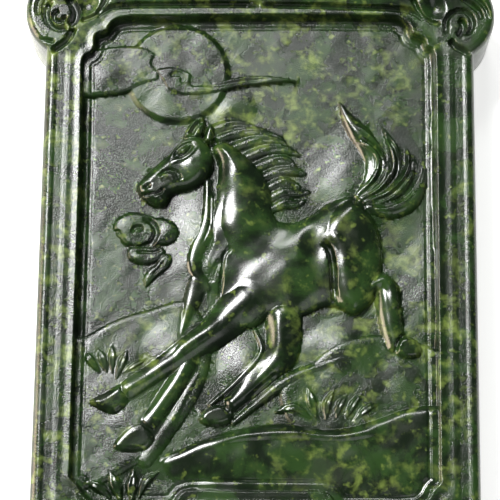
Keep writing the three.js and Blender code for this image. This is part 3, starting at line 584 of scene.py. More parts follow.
# Sections of the moulding, in from the tablet's edge, and of the lip and the wall, in from the panel's
MOULDING = [
    (0.0, 0.0), (0.8, 0.01), (0.88, 0.06), (0.97, 0.03), (1.08, 0.08), (1.3, 0.09), (1.6, 0.092),
    (1.85, 0.085), (1.98, 0.045), (2.08, 0.06), (2.2, 0.02), (2.6, 0.01), (3.6, 0.01)]
LIP = [
    (-2.0, 0.0), (-1.5, 0.02), (-1.0, 0.07), (-0.75, 0.09), (-0.6, 0.09), (-0.45, 0.075),
    (-0.15, 0.014), (-0.05, 0.016), (0.0, 0.06)]
WALL = [
    (-0.1, 0.0), (0.0, 0.06), (0.06, 0.24), (0.13, 0.56), (0.2, 0.8), (0.28, 0.93), (0.4, 1.0),
    (1.2, 1.0)]
PANEL_EDGE = [
    (-16.1, -19.2), (-16.05, -20.2), (-15.4, -20.8), (-15, -21.5), (-14.2, -22.2), (-13.2, -22.4),
    (-10, -22.4), (-7.5, -22.35), (-6.9, -22.1), (-6.4, -21.4), (-5.8, -21.15), (-3, -21.15),
    (3, -21.15), (5.8, -21.15), (6.4, -21.4), (6.9, -22.1), (7.5, -22.35), (10, -22.4),
    (13.2, -22.4), (14.2, -22.2), (15, -21.5), (15.4, -20.8), (16, -20.2), (16, -19.2), (16, -10),
    (16, 10), (16, 17.4), (15.95, 19), (15.75, 19.6), (15.25, 19.95), (15.1, 20.5), (14.5, 20.9),
    (13.95, 21.15), (13.75, 21.75), (13.2, 22.3), (12.4, 22.75), (10.5, 22.8), (5, 22.8),
    (-5, 22.6), (-9.5, 22.5), (-12.3, 22.4), (-13.3, 22.1), (-13.85, 21.5), (-14.1, 21.05),
    (-14.95, 20.7), (-15.15, 20.3), (-15.15, 19.5), (-15.4, 18.95), (-16, 18.6), (-16.2, 18),
    (-16.2, 16.5), (-16.1, 10), (-16.1, -10)]


def profile(points):
    """A smooth section through points, each a distance across and a depth."""
    line = smooth_line(points)
    return lambda t: np.interp(t, line[:, 0], line[:, 1])


def polar(centre, radius, degrees):
    """The place at a distance and an angle from a centre."""
    angle = math.radians(degrees)
    return centre[0] + radius * math.cos(angle), centre[1] + radius * math.sin(angle)


def arc(centre, radius, first, last, steps=20):
    """Places along an arc, between two angles in degrees."""
    return [polar(centre, radius, first + (last - first) * i / steps) for i in range(steps + 1)]


def scroll(centre, inner, growth, turns, first, steps=40):
    """Places along a spiral that opens clockwise from its eye."""
    shares = [turns * i / steps for i in range(steps + 1)]
    return [polar(centre, inner + growth * turn, first - 360 * turn) for turn in shares]


# Each line of an ear's scroll: its depth, its half width and its places
LEFT_EAR = [
    (0.5, 0.3, [(-18.35, 22.85), (-18.8, 22.6), (-18.85, 22.1), (-18.45, 21.8), (-18, 21.95),
                (-17.85, 22.4)]),
    (0.6, 0.42, [(-19.2, 23.9), (-19.6, 23), (-19.5, 22.1), (-19, 21.35), (-18.3, 21.1),
                 (-17.6, 21.3)]),
    (0.75, 0.55, [(-17.6, 21.5), (-17, 22), (-16.85, 22.8), (-17.2, 23.6), (-17.8, 24.3)]),
    (0.75, 0.42, [(-17, 21.3), (-17.25, 20.6), (-17.7, 19.9), (-18.3, 19.4), (-19.1, 18.9)]),
    (0.35, 0.3, [(-20.3, 22.3), (-20.4, 23.3), (-20.1, 24.2), (-19.4, 25)]),
    (0.35, 0.3, [(-20.9, 20.6), (-20.2, 20.1), (-19.3, 19.9), (-18.7, 19.9)]),
    (0.3, 0.26, [(-19.7, 22), (-19.9, 23), (-19.6, 24), (-18.9, 24.8)])]
RIGHT_EAR = [
    (0.7, 0.42, [(18.1, 22.4), (18.45, 22.2), (18.55, 21.6), (18.3, 21.1), (17.9, 20.8)]),
    (0.6, 0.34, [(17, 20.9), (16.95, 21.6), (17.1, 22.5), (17.7, 23.15), (18.5, 23.3),
                 (19.2, 22.8), (19.4, 22), (19.1, 21.3), (18.5, 20.9)]),
    (0.5, 0.34, [(18.3, 24.6), (19.3, 23.9), (20, 23.2), (20.25, 22.4)]),
    (0.4, 0.28, [(19.2, 24.9), (20.3, 24), (20.85, 23), (21, 22.4)]),
    (0.7, 0.4, [(17.3, 20.5), (17.8, 19.8), (18.5, 19.4), (19.2, 19)])]


# The basin between each ear and the panel: its place, half width and half height
BASIN = (15.9, 23.4, 1.3, 1.5)


def head_carving(plan):
    """The scrolls, flutes and cloud lines of the head, as depths below its face."""
    shoulder_inset = 1.3
    crown_inset = 1.1
    collar = 0.85
    basin_depth = 0.5
    eye_shift = (0.4, 0.2)
    shoulder = (plan.shoulder[0], plan.shoulder[1] - plan.panel_y)
    eye = (shoulder[0] + eye_shift[0], shoulder[1] + eye_shift[1])
    crown = (0.0, plan.crown[1] - plan.panel_y)
    ears = highest(*[groove(depth, width, line, 0.1) for depth, width, line in LEFT_EAR + RIGHT_EAR])
    both = highest(
        groove(0.6, 0.36, [(0, 23.65), (6, 23.6), (11, 23.5), (13.2, 23.35), (14.1, 23.05),
                           (15, 22.35)], 0.04),
        groove(0.5, 0.34, [(13.9, 24.6), (14.3, 23.6), (15, 22.6), (15.7, 22.2), (16.5, 21.9)], 0.1),
        swell(basin_depth, *BASIN),
        groove(0.4, 0.34, arc(shoulder, plan.shoulder_radius - shoulder_inset, 20, 160), 0.12),
        groove(0.4, 0.32, scroll(eye, 0.5, 1.0, 1.6, 180), 0.1),
        groove(0.4, 0.34, arc(crown, plan.crown_radius - crown_inset, -40, 90), 0.05),
        groove(0.35, 0.32, arc(crown, plan.hole_radius + collar, -90, 90), 0.02))
    return lambda x, y: np.maximum(ears(x, y), both(np.abs(x), y))


class Plan:
    """The tablet's plan in millimetres, from the frame's box and the sizes."""

    def __init__(self, sizes):
        low, high = (Vector(corner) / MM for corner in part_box(NODE))
        past = 1.0
        ear_rise = 0.2
        shoulder_x = 8.6
        shoulder_rise = 3.0
        neck_width = 7.4
        self.low, self.high = low, high
        self.thickness = high.z
        self.width = sizes.frame_width / MM
        self.edge = sizes.edge_round / MM
        self.corner = sizes.corner_radius / MM
        self.step = sizes.grid_step / MM
        self.recess = sizes.recess_depth / MM
        self.relief = sizes.relief_height / MM
        self.panel_y = low.y + (sizes.foot_border + sizes.panel_height / 2) / MM
        self.panel_top = self.panel_y + sizes.panel_height / 2 / MM
        self.ear_radius = sizes.ear_radius / MM
        self.shoulder_radius = sizes.shoulder_radius / MM
        self.crown_radius = sizes.crown_radius / MM
        self.hole_radius = sizes.cord_hole / 2 / MM
        self.ear = (high.x - self.ear_radius, self.panel_top + ear_rise)
        self.shoulder = (shoulder_x, self.panel_top + shoulder_rise)
        self.crown = (0.0, high.y - self.crown_radius)
        self.plate_low = self.panel_top - self.ear_radius
        self.plate_high = self.shoulder[1] + past
        self.tablet_high = self.panel_top + past
        self.neck_width = neck_width

    def box_distance(self, x, y, width, low, high):
        """How far places lie outside a rectangle with round corners; inside it is less than 0."""
        dx = np.abs(x) - (width / 2 - self.corner)
        dy = np.abs(y - (low + high) / 2) - ((high - low) / 2 - self.corner)
        outer = np.hypot(np.maximum(dx, 0), np.maximum(dy, 0))
        return outer + np.minimum(np.maximum(dx, dy), 0) - self.corner

    def border_depth(self, x, y):
        """How far places lie inside the frame's sides and foot, which run on past the head."""
        past_head = 20.0
        return -self.box_distance(x, y, self.width, self.low.y, self.high.y + past_head)

    def outline(self, x, y):
        """How far places lie outside the tablet's outline; inside it is less than 0."""
        side = np.abs(x)
        parts = [
            self.box_distance(x, y, self.width, self.low.y, self.tablet_high),
            self.box_distance(x, y, 2 * self.ear[0], self.plate_low, self.plate_high),
            self.box_distance(x, y, self.neck_width, self.plate_low, self.crown[1])]
        for centre, radius in ((self.ear, self.ear_radius), (self.shoulder, self.shoulder_radius),
                               (self.crown, self.crown_radius)):
            parts.append(np.hypot(side - centre[0], y - centre[1]) - radius)
        return np.minimum.reduce(parts)

    def settle(self, x, y, depth, rounds=8):
        """Moves places square to the outline until they lie at this depth inside it."""
        reach = 0.01
        for _ in range(rounds):
            slope_x, slope_y = slopes(self.outline, x, y, reach)
            miss = self.outline(x, y) + depth
            x = x - miss * slope_x
            y = y - miss * slope_y
        return x, y


# How far round the tablet's edge the carved face ends and the turned rim begins
RIM_START = math.radians(45)


def ripple(x, y):
    """The slight unevenness of a surface dressed by hand, as a sum of long waves."""
    waves = 14
    shortest, longest = 1.6, 6.0
    rng = np.random.default_rng(7)
    total = np.zeros(x.shape)
    for _ in range(waves):
        angle = rng.uniform(0, 2 * math.pi)
        span = rng.uniform(shortest, longest)
        phase = rng.uniform(0, 2 * math.pi)
        total += np.sin((x * math.cos(angle) + y * math.sin(angle)) * 2 * math.pi / span + phase)
    return total / waves


# Each swell of the ground: its amount, its place across and up, and its half width and height
GROUND_SWELLS = [
    (0.6, -4.4, 1, 4.6, 8), (0.56, -0.6, -10, 3.2, 3.6), (0.28, -9.6, -15.2, 3.4, 2.4),
    (0.28, -9.4, -18.4, 3.2, 1.9), (0.46, 9, 7.4, 5.2, 5.6), (0.3, 15.6, -3, 4, 7),
    (0.26, -2.2, 14.2, 2.6, 2), (-0.12, -13, 9, 3.5, 7), (-0.1, 4, 14.5, 7, 4),
    (0.32, -11.6, -14.5, 3.4, 7), (0.44, 7.4, -8, 3.6, 3), (0.44, -7.2, -8.2, 3.2, 3.2)]


def panel_depth(x, y):
    """How far places lie inside the panel's edge; outside it is less than 0."""
    middle_x, middle_y = 11.5, 18.5
    depth_of_middle = 9.0
    line = smooth_line(PANEL_EDGE, closed=True, share=4)
    distance = np.full(x.shape, depth_of_middle)
    band = np.flatnonzero((np.abs(x) > middle_x) | (np.abs(y) > middle_y))
    distance[band] = nearest(line, x[band], y[band])[0]
    return np.where(is_inside(line, x, y), distance, -distance)


def rim_heights(plan, x, y):
    """Heights of the plain face with its rounded edge, its moulding and the head's carving."""
    moulding_end, moulding_fade = 19.4, 0.8
    bare_rim, rim_fade = 0.25, 0.5
    depth = -plan.outline(x, y)
    short = np.clip(plan.edge - depth, 0, plan.edge)
    z = plan.thickness - (plan.edge - np.sqrt(plan.edge ** 2 - short ** 2))
    sheet_y = y - plan.panel_y
    z -= profile(MOULDING)(plan.border_depth(x, y)) * ramp(-sheet_y, -moulding_end, moulding_fade)
    return z - head_carving(plan)(x, sheet_y) * ramp(depth, bare_rim, rim_fade)


def face_heights(plan, x, y):
    """Heights of the carved face over the back."""
    lip_width = 2.2
    least_drop = 0.046
    unevenness = 0.1
    swell_limit = 0.6
    line_place, line_width, line_depth = 0.95, 0.24, 0.08
    skin = 0.001
    z = rim_heights(plan, x, y)
    sheet_y = y - plan.panel_y
    inward = panel_depth(x, sheet_y)
    z -= profile(LIP)(np.minimum(inward, 0)) * (inward > -lip_width)
    sunk = np.flatnonzero(inward > 0)
    px, py = x[sunk], sheet_y[sunk]
    wall = plan.thickness - plan.recess * np.maximum(profile(WALL)(inward[sunk]), least_drop)
    relief = np.maximum(polished_relief()(px, py), satin_relief()(px, py))
    ground = plan.thickness - plan.recess + unevenness * ripple(px, py)
    bare = 1 - ramp(relief, 0, swell_limit)
    for rise in GROUND_SWELLS:
        ground += bare * swell(*rise)(px, py)
    raised = ground + plan.relief * relief
    foot_line = np.maximum(1 - ((inward[sunk] - line_place) / line_width) ** 2, 0)
    z[sunk] = np.maximum(wall, raised) - line_depth * foot_line
    return np.minimum(z, plan.thickness - skin)


def face_normals(plan, x, y):
    """Directions square to the carved face."""
    reach = 0.03
    across, upwards = slopes(lambda px, py: face_heights(plan, px, py), x, y, reach)
    normals = np.column_stack([-across, -upwards, np.ones(len(x))])
    return normals / np.linalg.norm(normals, axis=1)[:, None]


# Mesh work


def deselect_all():
    """Leaves nothing selected."""
    bpy.ops.object.select_all(action="DESELECT")


def choose(piece):
    """Makes a piece the active one and the only one selected."""
    deselect_all()
    bpy.context.view_layer.objects.active = piece
    piece.select_set(True)


def finish_with(piece, kind, **settings):
    """Gives a piece a modifier with its settings, and applies it."""
    choose(piece)
    modifier = piece.modifiers.new(kind.lower(), kind)
    for name, value in settings.items():
        setattr(modifier, name, value)
    if bpy.ops.object.modifier_apply(modifier=modifier.name) != {"FINISHED"}:
        raise RuntimeError(f"{piece.name} could not be finished with {kind.lower()}")


def read(items, name, kind=int, width=1):
    """The numbers that a mesh holds for each of its items, so many to the item."""
    values = np.empty(len(items) * width, kind)
    items.foreach_get(name, values)
    return values


def read_places(mesh):
    """The vertices' places in millimetres."""
    return read(mesh.vertices, "co", float, 3).reshape(-1, 3) / MM


def write_places(mesh, places):
    """Puts the vertices at places given in millimetres."""
    mesh.vertices.foreach_set("co", (places * MM).ravel())
    mesh.update()


def pick(mesh, vertices=None, faces=None):
    """Selects the given vertices or faces and nothing else."""
    for items, chosen in ((mesh.vertices, vertices), (mesh.edges, None), (mesh.polygons, faces)):
        items.foreach_set("select", np.zeros(len(items), bool) if chosen is None else chosen)


SELECT_ALL = (bpy.ops.mesh.select_all, {"action": "SELECT"})
TURN_OUTWARDS = (bpy.ops.mesh.normals_make_consistent, {"inside": False})


def in_edit_mode(mode, *steps):
    """Runs mesh operators on what is selected, in vertex or face selection."""
    bpy.ops.object.mode_set(mode="EDIT")
    bpy.context.tool_settings.mesh_select_mode = (mode == "VERT", False, mode == "FACE")
    for operator, options in steps:
        operator(**options)
    bpy.ops.object.mode_set(mode="OBJECT")


def cut_blank(plan):
    """A grid over the tablet, trimmed to the line where the rounded rim begins."""
    deselect_all()
    size = plan.high - plan.low
    columns = round(size.x / plan.step)
    rows = round(size.y / plan.step)
    bpy.ops.mesh.primitive_grid_add(x_subdivisions=columns, y_subdivisions=rows, size=1)
    blank = bpy.context.object
    blank.name = blank.data.name = "carved_tablet"
    blank.scale = (size.x * MM, size.y * MM, 1)
    blank.location = (0, 0, plan.thickness * MM)
    bpy.ops.object.transform_apply(location=True, rotation=True, scale=True)
    mesh = blank.data
    places = read_places(mesh)
    start = plan.edge * (1 - math.sin(RIM_START))
    inside = -plan.outline(places[:, 0], places[:, 1]) - start
    on_rim = np.abs(inside) < plan.step / 2
    outside = inside <= -plan.step / 2
    rim = plan.settle(places[on_rim, 0], places[on_rim, 1], start)
    places[on_rim, 0], places[on_rim, 1] = rim
    write_places(mesh, places)
    for corner, method in ((0, "FIXED_ALTERNATE"), (1, "FIXED")):
        starts = read(mesh.polygons, "loop_start")
        counts = read(mesh.polygons, "loop_total")
        corners = read(mesh.loops, "vertex_index")
        gone = outside[corners[np.minimum(starts[:, None] + np.arange(4), len(corners) - 1)]]
        lone = (counts == 4) & (gone.sum(axis=1) == 1) & (gone[:, corner] | gone[:, corner + 2])
        pick(mesh, faces=lone)
        in_edit_mode("FACE", (bpy.ops.mesh.quads_convert_to_tris, {"quad_method": method}))
    pick(mesh, vertices=outside)
    in_edit_mode("VERT", (bpy.ops.mesh.delete, {"type": "VERT"}))
    places = read_places(mesh)
    places[:, 2] = face_heights(plan, places[:, 0], places[:, 1])
    write_places(mesh, places)
    return blank


def turn_rim(blank, plan):
    """Extrudes the rim round both edges and down the side, and closes the back."""
    mesh = blank.data
    top = plan.thickness - plan.edge
    front_turns = np.linspace(RIM_START, math.pi / 2, 5)[1:]
    back_turns = np.linspace(math.pi / 2, 0, 6)
    rings = [(turn, top + plan.edge * math.cos(turn)) for turn in front_turns]
    rings += [(turn, plan.edge * (1 - math.cos(turn))) for turn in back_turns]
    count = len(mesh.vertices)
    edge_pick = {"extend": False, "use_wire": False, "use_multi_face": False,
                 "use_non_contiguous": False, "use_verts": False}
    step = {"TRANSFORM_OT_translate": {"value": (0, 0, -plan.step * MM)}}
    in_edit_mode(
        "VERT",
        (bpy.ops.mesh.select_all, {"action": "DESELECT"}),
        (bpy.ops.mesh.select_non_manifold, edge_pick),
        *[(bpy.ops.mesh.extrude_region_move, step) for _ in rings],
        (bpy.ops.mesh.edge_face_add, {}),
        SELECT_ALL,
        TURN_OUTWARDS)
    places = read_places(mesh)
    per_ring = (len(places) - count) // len(rings)
    x, y = places[count:count + per_ring, 0], places[count:count + per_ring, 1]
    for k, (turn, height) in enumerate(rings):
        ring = slice(count + k * per_ring, count + (k + 1) * per_ring)
        x, y = plan.settle(x, y, plan.edge * (1 - math.sin(turn)))
        places[ring] = np.column_stack([x, y, np.full(per_ring, height)])
    write_places(mesh, places)


def cut_with(piece, cutter):
    """Cuts a closed piece with another one, which is then gone."""
    before = len(piece.data.vertices)
    finish_with(piece, "BOOLEAN", operation="DIFFERENCE", solver="MANIFOLD", object=cutter)
    bpy.data.objects.remove(cutter)
    if len(piece.data.vertices) == before:
        raise RuntimeError(f"nothing was cut from {piece.name}")


def drill_cord_hole(piece, plan):
    """Drills the cord hole and countersinks both of its ends."""
    sink = 0.45
    sides = 64
    x, y = plan.crown
    middle = plan.thickness / 2
    deselect_all()
    bpy.ops.mesh.primitive_cylinder_add(
        vertices=sides, radius=plan.hole_radius * MM, depth=2 * plan.thickness * MM,
        location=(x * MM, y * MM, middle * MM))
    cut_with(piece, bpy.context.object)
    for end in (-1, 1):
        deselect_all()
        bpy.ops.mesh.primitive_cone_add(
            vertices=sides, radius1=(plan.hole_radius + 2 * sink) * MM, radius2=plan.hole_radius * MM,
            depth=2 * sink * MM, location=(x * MM, y * MM, (middle + end * middle) * MM),
            rotation=(0 if end < 0 else math.pi, 0, 0))
        cut_with(piece, bpy.context.object)


def cut_back_line(piece, plan, inset, width):
    """Cuts a shallow line with round corners into the back."""
    depth = 0.3
    past = 1.0
    edge_round = 0.18
    wide = plan.width - 2 * inset
    low, high = plan.low.y + inset, plan.panel_top
    deselect_all()
    bpy.ops.mesh.primitive_plane_add(size=1, location=(0, (low + high) / 2 * MM, depth * MM))
    cutter = bpy.context.object
    cutter.scale = (wide * MM, (high - low) * MM, 1)
    bpy.ops.object.transform_apply(location=True, rotation=True, scale=True)
    in_edit_mode(
        "VERT",
        SELECT_ALL,
        (bpy.ops.mesh.bevel, {"offset": plan.corner * MM, "segments": 8, "affect": "VERTICES"}))
    in_edit_mode(
        "FACE",
        SELECT_ALL,
        (bpy.ops.mesh.inset, {"thickness": width * MM}),
        (bpy.ops.mesh.delete, {"type": "FACE"}),
        SELECT_ALL,
        (bpy.ops.mesh.extrude_region_move,
         {"TRANSFORM_OT_translate": {"value": (0, 0, -(depth + past) * MM)}}),
        SELECT_ALL,
        TURN_OUTWARDS)
    finish_with(cutter, "BEVEL", width=edge_round * MM, segments=3)
    cut_with(piece, cutter)


def thin_out(piece, triangles):
    """Lowers the number of triangles where the surface is even."""
    crease = math.radians(48)
    choose(piece)
    in_edit_mode(
        "FACE",
        SELECT_ALL,
        (bpy.ops.mesh.quads_convert_to_tris, {"quad_method": "BEAUTY", "ngon_method": "BEAUTY"}))
    finish_with(piece, "DECIMATE", ratio=min(1.0, triangles / len(piece.data.polygons)))
    bpy.ops.object.shade_smooth_by_angle(angle=crease)


def smooth_face(piece, plan):
    """Gives the carved face the exact directions of its surface, away from rim and hole."""
    rim_margin = 0.05
    hole_margin = 1.0
    mesh = piece.data
    places = read_places(mesh)
    x, y = places[:, 0], places[:, 1]
    inner = -plan.outline(x, y) > plan.edge * (1 - math.sin(RIM_START)) + rim_margin
    clear = np.hypot(x - plan.crown[0], y - plan.crown[1]) > plan.hole_radius + hole_margin
    chosen = np.flatnonzero((places[:, 2] > plan.thickness / 2) & inner & clear)
    normals = np.zeros((len(places), 3))
    normals[chosen] = face_normals(plan, x[chosen], y[chosen])
    exact = normals[read(mesh.loops, "vertex_index")]
    known = exact[:, 2] > 0
    directions = read(mesh.corner_normals, "vector", float, 3).reshape(-1, 3)
    directions[known] = exact[known]
    mesh.normals_split_custom_set(directions.tolist())


def mark_polish(piece, plan):
    """Stores how far each vertex is polished: 1 on the forms, less on the frame, 0 on the ground."""
    side_polish = 0.9
    frame_dullness = 0.7
    channel_dullness, channel_place, channel_width, channel_steepness = 0.3, 1.5, 0.55, 2
    strip_dullness, strip_place, strip_fade = 0.1, 3.0, 0.3
    basin_dullness = 0.8
    frame_top, head_line = 18.8, 23.4
    wall_polish, wall_foot, wall_fade = 0.8, 0.6, 0.2
    form_fade = 0.08
    panel_margin = 0.25
    face_margin = 0.2
    mesh = piece.data
    places = read_places(mesh)
    x, y = places[:, 0], places[:, 1] - plan.panel_y
    polish = np.ones(len(places))
    on_face = places[:, 2] > plan.thickness - plan.recess - face_margin
    border = plan.border_depth(x, places[:, 1])
    channel = np.clip(
        channel_steepness * (1 - np.abs(border - channel_place) / channel_width), 0, 1)
    strip = ramp(border, strip_place, strip_fade) * (y < frame_top)
    dullness = frame_dullness + channel_dullness * channel * (y < frame_top)
    polish -= dullness * (y < head_line) + strip_dullness * strip
    polish -= basin_dullness * swell(1, *BASIN)(np.abs(x), y)
    inward = panel_depth(x, y)
    sunk = np.flatnonzero((inward > panel_margin) & on_face)
    forms = ramp(polished_relief()(x[sunk], y[sunk]), 0, form_fade)
    wall = ramp(-inward[sunk], -wall_foot, wall_fade)
    polish[sunk] = np.maximum(forms, wall_polish * wall)
    attribute = mesh.attributes.new("polish", "FLOAT", "POINT")
    attribute.data.foreach_set("value", np.where(on_face, np.clip(polish, 0, 1), side_polish))


# Materials


def feed(tree, socket, value):
    """Links an input to another node's output, or gives it a value of its own."""
    if isinstance(value, bpy.types.NodeSocket):
        tree.links.new(value, socket)
    else:
        socket.default_value = value


def add_node(tree, kind, inputs=None, **settings):
    """Adds a shader node with its own settings and with values or links for its inputs."""
    node = tree.nodes.new(kind)
    for name, value in settings.items():
        setattr(node, name, value)
    for name, value in (inputs or {}).items():
        feed(tree, node.inputs[name], value)
    return node


def noise(tree, places, scale, detail=4.0, roughness=0.55, distortion=0.0):
    """Soft noise at a scale given in repeats to the metre."""
    return add_node(tree, "ShaderNodeTexNoise", {
        "Vector": places, "Scale": scale, "Detail": detail, "Roughness": roughness,
        "Distortion": distortion}).outputs["Fac"]


def between(tree, value, low, high, to_low=0.0, to_high=1.0):
    """Stretches the values between two limits over a range, with soft ends."""
    return add_node(tree, "ShaderNodeMapRange", {
        "Value": value, "From Min": low, "From Max": high, "To Min": to_low,
        "To Max": to_high}, interpolation_type="SMOOTHSTEP").outputs["Result"]


def mix_colours(tree, share, first, second):
    """Mixes two colours by a share; either colour may be a socket or a value."""
    first, second = (colour if isinstance(colour, bpy.types.NodeSocket) else (*colour, 1.0)
                     for colour in (first, second))
    return add_node(tree, "ShaderNodeMix", {
        "Factor": share, "A": first, "B": second}, data_type="RGBA").outputs["Result"]


def calculate(tree, operation, first, second):
    """One step of arithmetic; either number may be a socket or a value."""
    inputs = {0: first, 1: second}
    return add_node(tree, "ShaderNodeMath", inputs, operation=operation).outputs["Value"]


STONE_IOR = 1.61
GRAIN_HEIGHT = 0.009
# Where the lighter cast of the left border begins, and where it is strongest
LEFT_CAST = (-15.0, -18.5)


def jade(finish):
    """Mottled green stone, polished on its forms and satin on its ground."""
    material = bpy.data.materials.new("jade")
    material.use_nodes = True
    tree = material.node_tree
    shader = tree.nodes["Principled BSDF"]
    shader.inputs["IOR"].default_value = STONE_IOR
    places = add_node(tree, "ShaderNodeTexCoord").outputs["Object"]
    axes = add_node(tree, "ShaderNodeSeparateXYZ", {"Vector": places})

    clouds = between(tree, noise(tree, places, 330, 5, 0.6, 0.3), 0.4, 0.64)
    regions = noise(tree, places, 85, 3, 0.5)
    left = between(tree, axes.outputs["X"], LEFT_CAST[0] * MM, LEFT_CAST[1] * MM, 0.0, 0.9)
    light = calculate(tree, "ADD", regions, left)
    mottles = calculate(
        tree, "MULTIPLY", between(tree, noise(tree, places, 720, 3.4, 0.58, 0.2), 0.49, 0.76),
        between(tree, light, 0.42, 0.66))
    spots = between(tree, noise(tree, places, 1300, 2, 0.5), 0.6, 0.8, 0.0, 0.7)
    ash = between(tree, noise(tree, places, 240, 4, 0.6, 0.5), 0.53, 0.66, 0.0, 0.4)
    colour = mix_colours(tree, clouds, finish.deep_green, finish.leaf_green)
    colour = mix_colours(tree, ash, colour, finish.ash_grey)
    colour = mix_colours(tree, mottles, colour, finish.moss_yellow)
    colour = mix_colours(tree, spots, colour, finish.moss_yellow)
    tree.links.new(colour, shader.inputs["Base Color"])

    polish = add_node(tree, "ShaderNodeAttribute", attribute_name="polish").outputs["Fac"]
    smears = noise(tree, places, 700, 3, 0.6)
    roughness = between(tree, polish, 0.0, 1.0, finish.satin, finish.polished)
    roughness = calculate(tree, "ADD", roughness, between(tree, smears, 0.3, 0.8, -0.03, 0.05))
    tree.links.new(roughness, shader.inputs["Roughness"])

    grain = between(tree, noise(tree, places, 7400, 2, 0.6), 0.32, 0.7)
    dull = calculate(tree, "SUBTRACT", 1.2, polish)
    waves = noise(tree, places, 900, 2, 0.5)
    height = calculate(tree, "ADD", calculate(tree, "MULTIPLY", grain, dull),
                       calculate(tree, "MULTIPLY", waves, 0.4))
    bump = add_node(tree, "ShaderNodeBump", {
        "Strength": 1.0, "Distance": GRAIN_HEIGHT * MM, "Height": height})
    tree.links.new(bump.outputs["Normal"], shader.inputs["Normal"])
    return material


def table_top(colour):
    """Pale matt table top that glows a little and is very slightly uneven in shade."""
    roughness = 0.75
    glow = 0.8
    shade_step = 0.985
    material = bpy.data.materials.new("table_top")
    material.use_nodes = True
    tree = material.node_tree
    shader = tree.nodes["Principled BSDF"]
    shader.inputs["Roughness"].default_value = roughness
    shader.inputs["Emission Color"].default_value = (*colour, 1)
    shader.inputs["Emission Strength"].default_value = glow
    places = add_node(tree, "ShaderNodeTexCoord").outputs["Object"]
    shade = between(tree, noise(tree, places, 40, 3), 0.3, 0.7)
    darker = tuple(shade_step * channel for channel in colour)
    tree.links.new(mix_colours(tree, shade, darker, colour), shader.inputs["Base Color"])
    return material


# Operators


class AMULET_OT_tablet(bpy.types.Operator):
    """Carve the jade tablet, with its frame, panel, head, cord hole and back line"""

    bl_idname = "amulet.tablet"
    bl_label = "Jade tablet"

    def execute(self, context):
        sizes = context.scene.amulet_sizes
        plan = Plan(sizes)
        piece = cut_blank(plan)
        turn_rim(piece, plan)
        cut_back_line(piece, plan, sizes.back_line_inset / MM, sizes.back_line_width / MM)
        drill_cord_hole(piece, plan)
        thin_out(piece, sizes.triangles)
        smooth_face(piece, plan)
        mark_polish(piece, plan)
        piece.data.materials.clear()
        piece.data.materials.append(jade(context.scene.amulet_finish))
        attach(piece, "root")
        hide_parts(NODE)
        return {"FINISHED"}


WHITE = (1, 1, 1)
# Each soft light: its name, place, width and share of the key light's power, and its colour
SOFT_LIGHTS = [
    ("key_light", (-335, 325, 710), 240, 1.0, WHITE),
    ("sheen_light", (-150, 215, 775), 300, 0.008, WHITE),
    ("top_light", (-40, 535, 650), 160, 0.15, WHITE),
    ("fill_light", (240, -420, 760), 420, 0.08, WHITE),
    ("left_glow", (-700, -60, 150), 460, 0.9, (1, 0.82, 0.62))]
LIGHT_AIM = (0, -3, 5)
VIEW_AIM = (-0.71, -3.55, 7.5)
TABLE_WIDTH = 3.0
TABLE_GAP = 0.05
AIR_COLOUR = (0.85, 0.87, 0.9, 1)
AIR_STRENGTH = 0.08
SENSOR_WIDTH = 36.0


def softbox(name, place, size, power, colour):
    """A square soft light that faces the amulet, with its place and size in millimetres."""
    deselect_all()
    bpy.ops.object.light_add(type="AREA", location=Vector(place) * MM)
    light = bpy.context.object
    light.name = light.data.name = name
    light.data.size = size * MM
    light.data.energy = power
    light.data.color = colour
    light.rotation_euler = (Vector(place) - Vector(LIGHT_AIM)).to_track_quat("Z", "Y").to_euler()


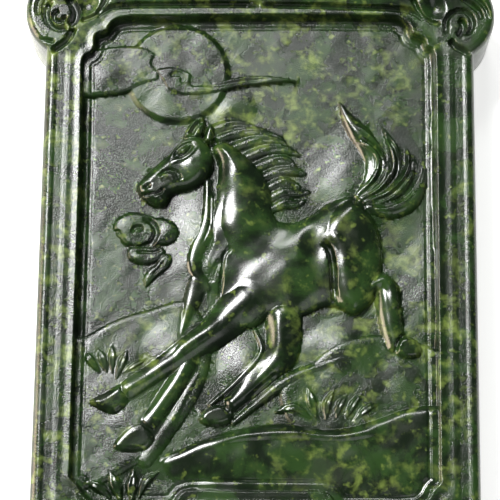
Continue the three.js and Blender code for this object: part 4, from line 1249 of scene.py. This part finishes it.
class AMULET_OT_studio(bpy.types.Operator):
    """Lay out the table, the soft lights and the camera"""

    bl_idname = "amulet.studio"
    bl_label = "Studio"

    def execute(self, context):
        scene = context.scene
        studio = scene.amulet_studio
        deselect_all()
        bpy.ops.mesh.primitive_plane_add(size=TABLE_WIDTH, location=(0, 0, -TABLE_GAP * MM))
        table = bpy.context.object
        table.name = table.data.name = "table"
        table.data.materials.append(table_top(studio.floor_colour))
        table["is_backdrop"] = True

        for name, place, size, share, colour in SOFT_LIGHTS:
            softbox(name, place, size, studio.key_power * share, colour)

        world = bpy.data.worlds.new("studio_air")
        world.use_nodes = True
        air = world.node_tree.nodes["Background"]
        air.inputs["Color"].default_value = AIR_COLOUR
        air.inputs["Strength"].default_value = AIR_STRENGTH
        scene.world = world
        scene.view_settings.view_transform = "Standard"

        aim = Vector(VIEW_AIM) * MM
        tilt = studio.camera_tilt
        back = Vector((0, -math.sin(tilt), math.cos(tilt)))
        bpy.ops.object.camera_add(location=aim + back * studio.camera_distance)
        camera = bpy.context.object
        camera.name = camera.data.name = "camera"
        right = Vector((math.cos(studio.camera_roll), math.sin(studio.camera_roll), 0))
        up = back.cross(right).normalized()
        camera.rotation_euler = Matrix((up.cross(back), up, back)).transposed().to_euler()
        camera.data.lens = studio.focal_length
        camera.data.sensor_width = SENSOR_WIDTH
        scene.camera = camera
        return {"FINISHED"}


class AMULET_PT_panel(bpy.types.Panel):
    """Lists the sizes, the finish and the steps that make the amulet"""

    bl_idname = "AMULET_PT_panel"
    bl_label = "Jade amulet"
    bl_space_type = "VIEW_3D"
    bl_region_type = "UI"
    bl_category = "Amulet"

    def draw(self, context):
        for group in ("amulet_sizes", "amulet_finish", "amulet_studio"):
            box = self.layout.box()
            settings = getattr(context.scene, group)
            for name in settings.__annotations__:
                box.prop(settings, name)
        for operator in (AMULET_OT_tablet, AMULET_OT_studio):
            self.layout.operator(operator.bl_idname)


CLASSES = (
    TabletSizes, JadeFinish, StudioSettings, AMULET_OT_tablet, AMULET_OT_studio, AMULET_PT_panel)


def register():
    """Registers the classes and their settings on the scene."""
    for cls in CLASSES:
        bpy.utils.register_class(cls)
    bpy.types.Scene.amulet_sizes = PointerProperty(type=TabletSizes)
    bpy.types.Scene.amulet_finish = PointerProperty(type=JadeFinish)
    bpy.types.Scene.amulet_studio = PointerProperty(type=StudioSettings)


def unregister():
    """Takes the settings and the classes out again."""
    del bpy.types.Scene.amulet_studio
    del bpy.types.Scene.amulet_finish
    del bpy.types.Scene.amulet_sizes
    for cls in reversed(CLASSES):
        bpy.utils.unregister_class(cls)


def main():
    register()
    bpy.ops.amulet.studio()
    bpy.ops.amulet.tablet()
    boxes = {"cad": CAD_BOX, "visual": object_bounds()}
    {name: [list(corner) for corner in box] for name, box in boxes.items()}


if __name__ == "__main__":
    main()
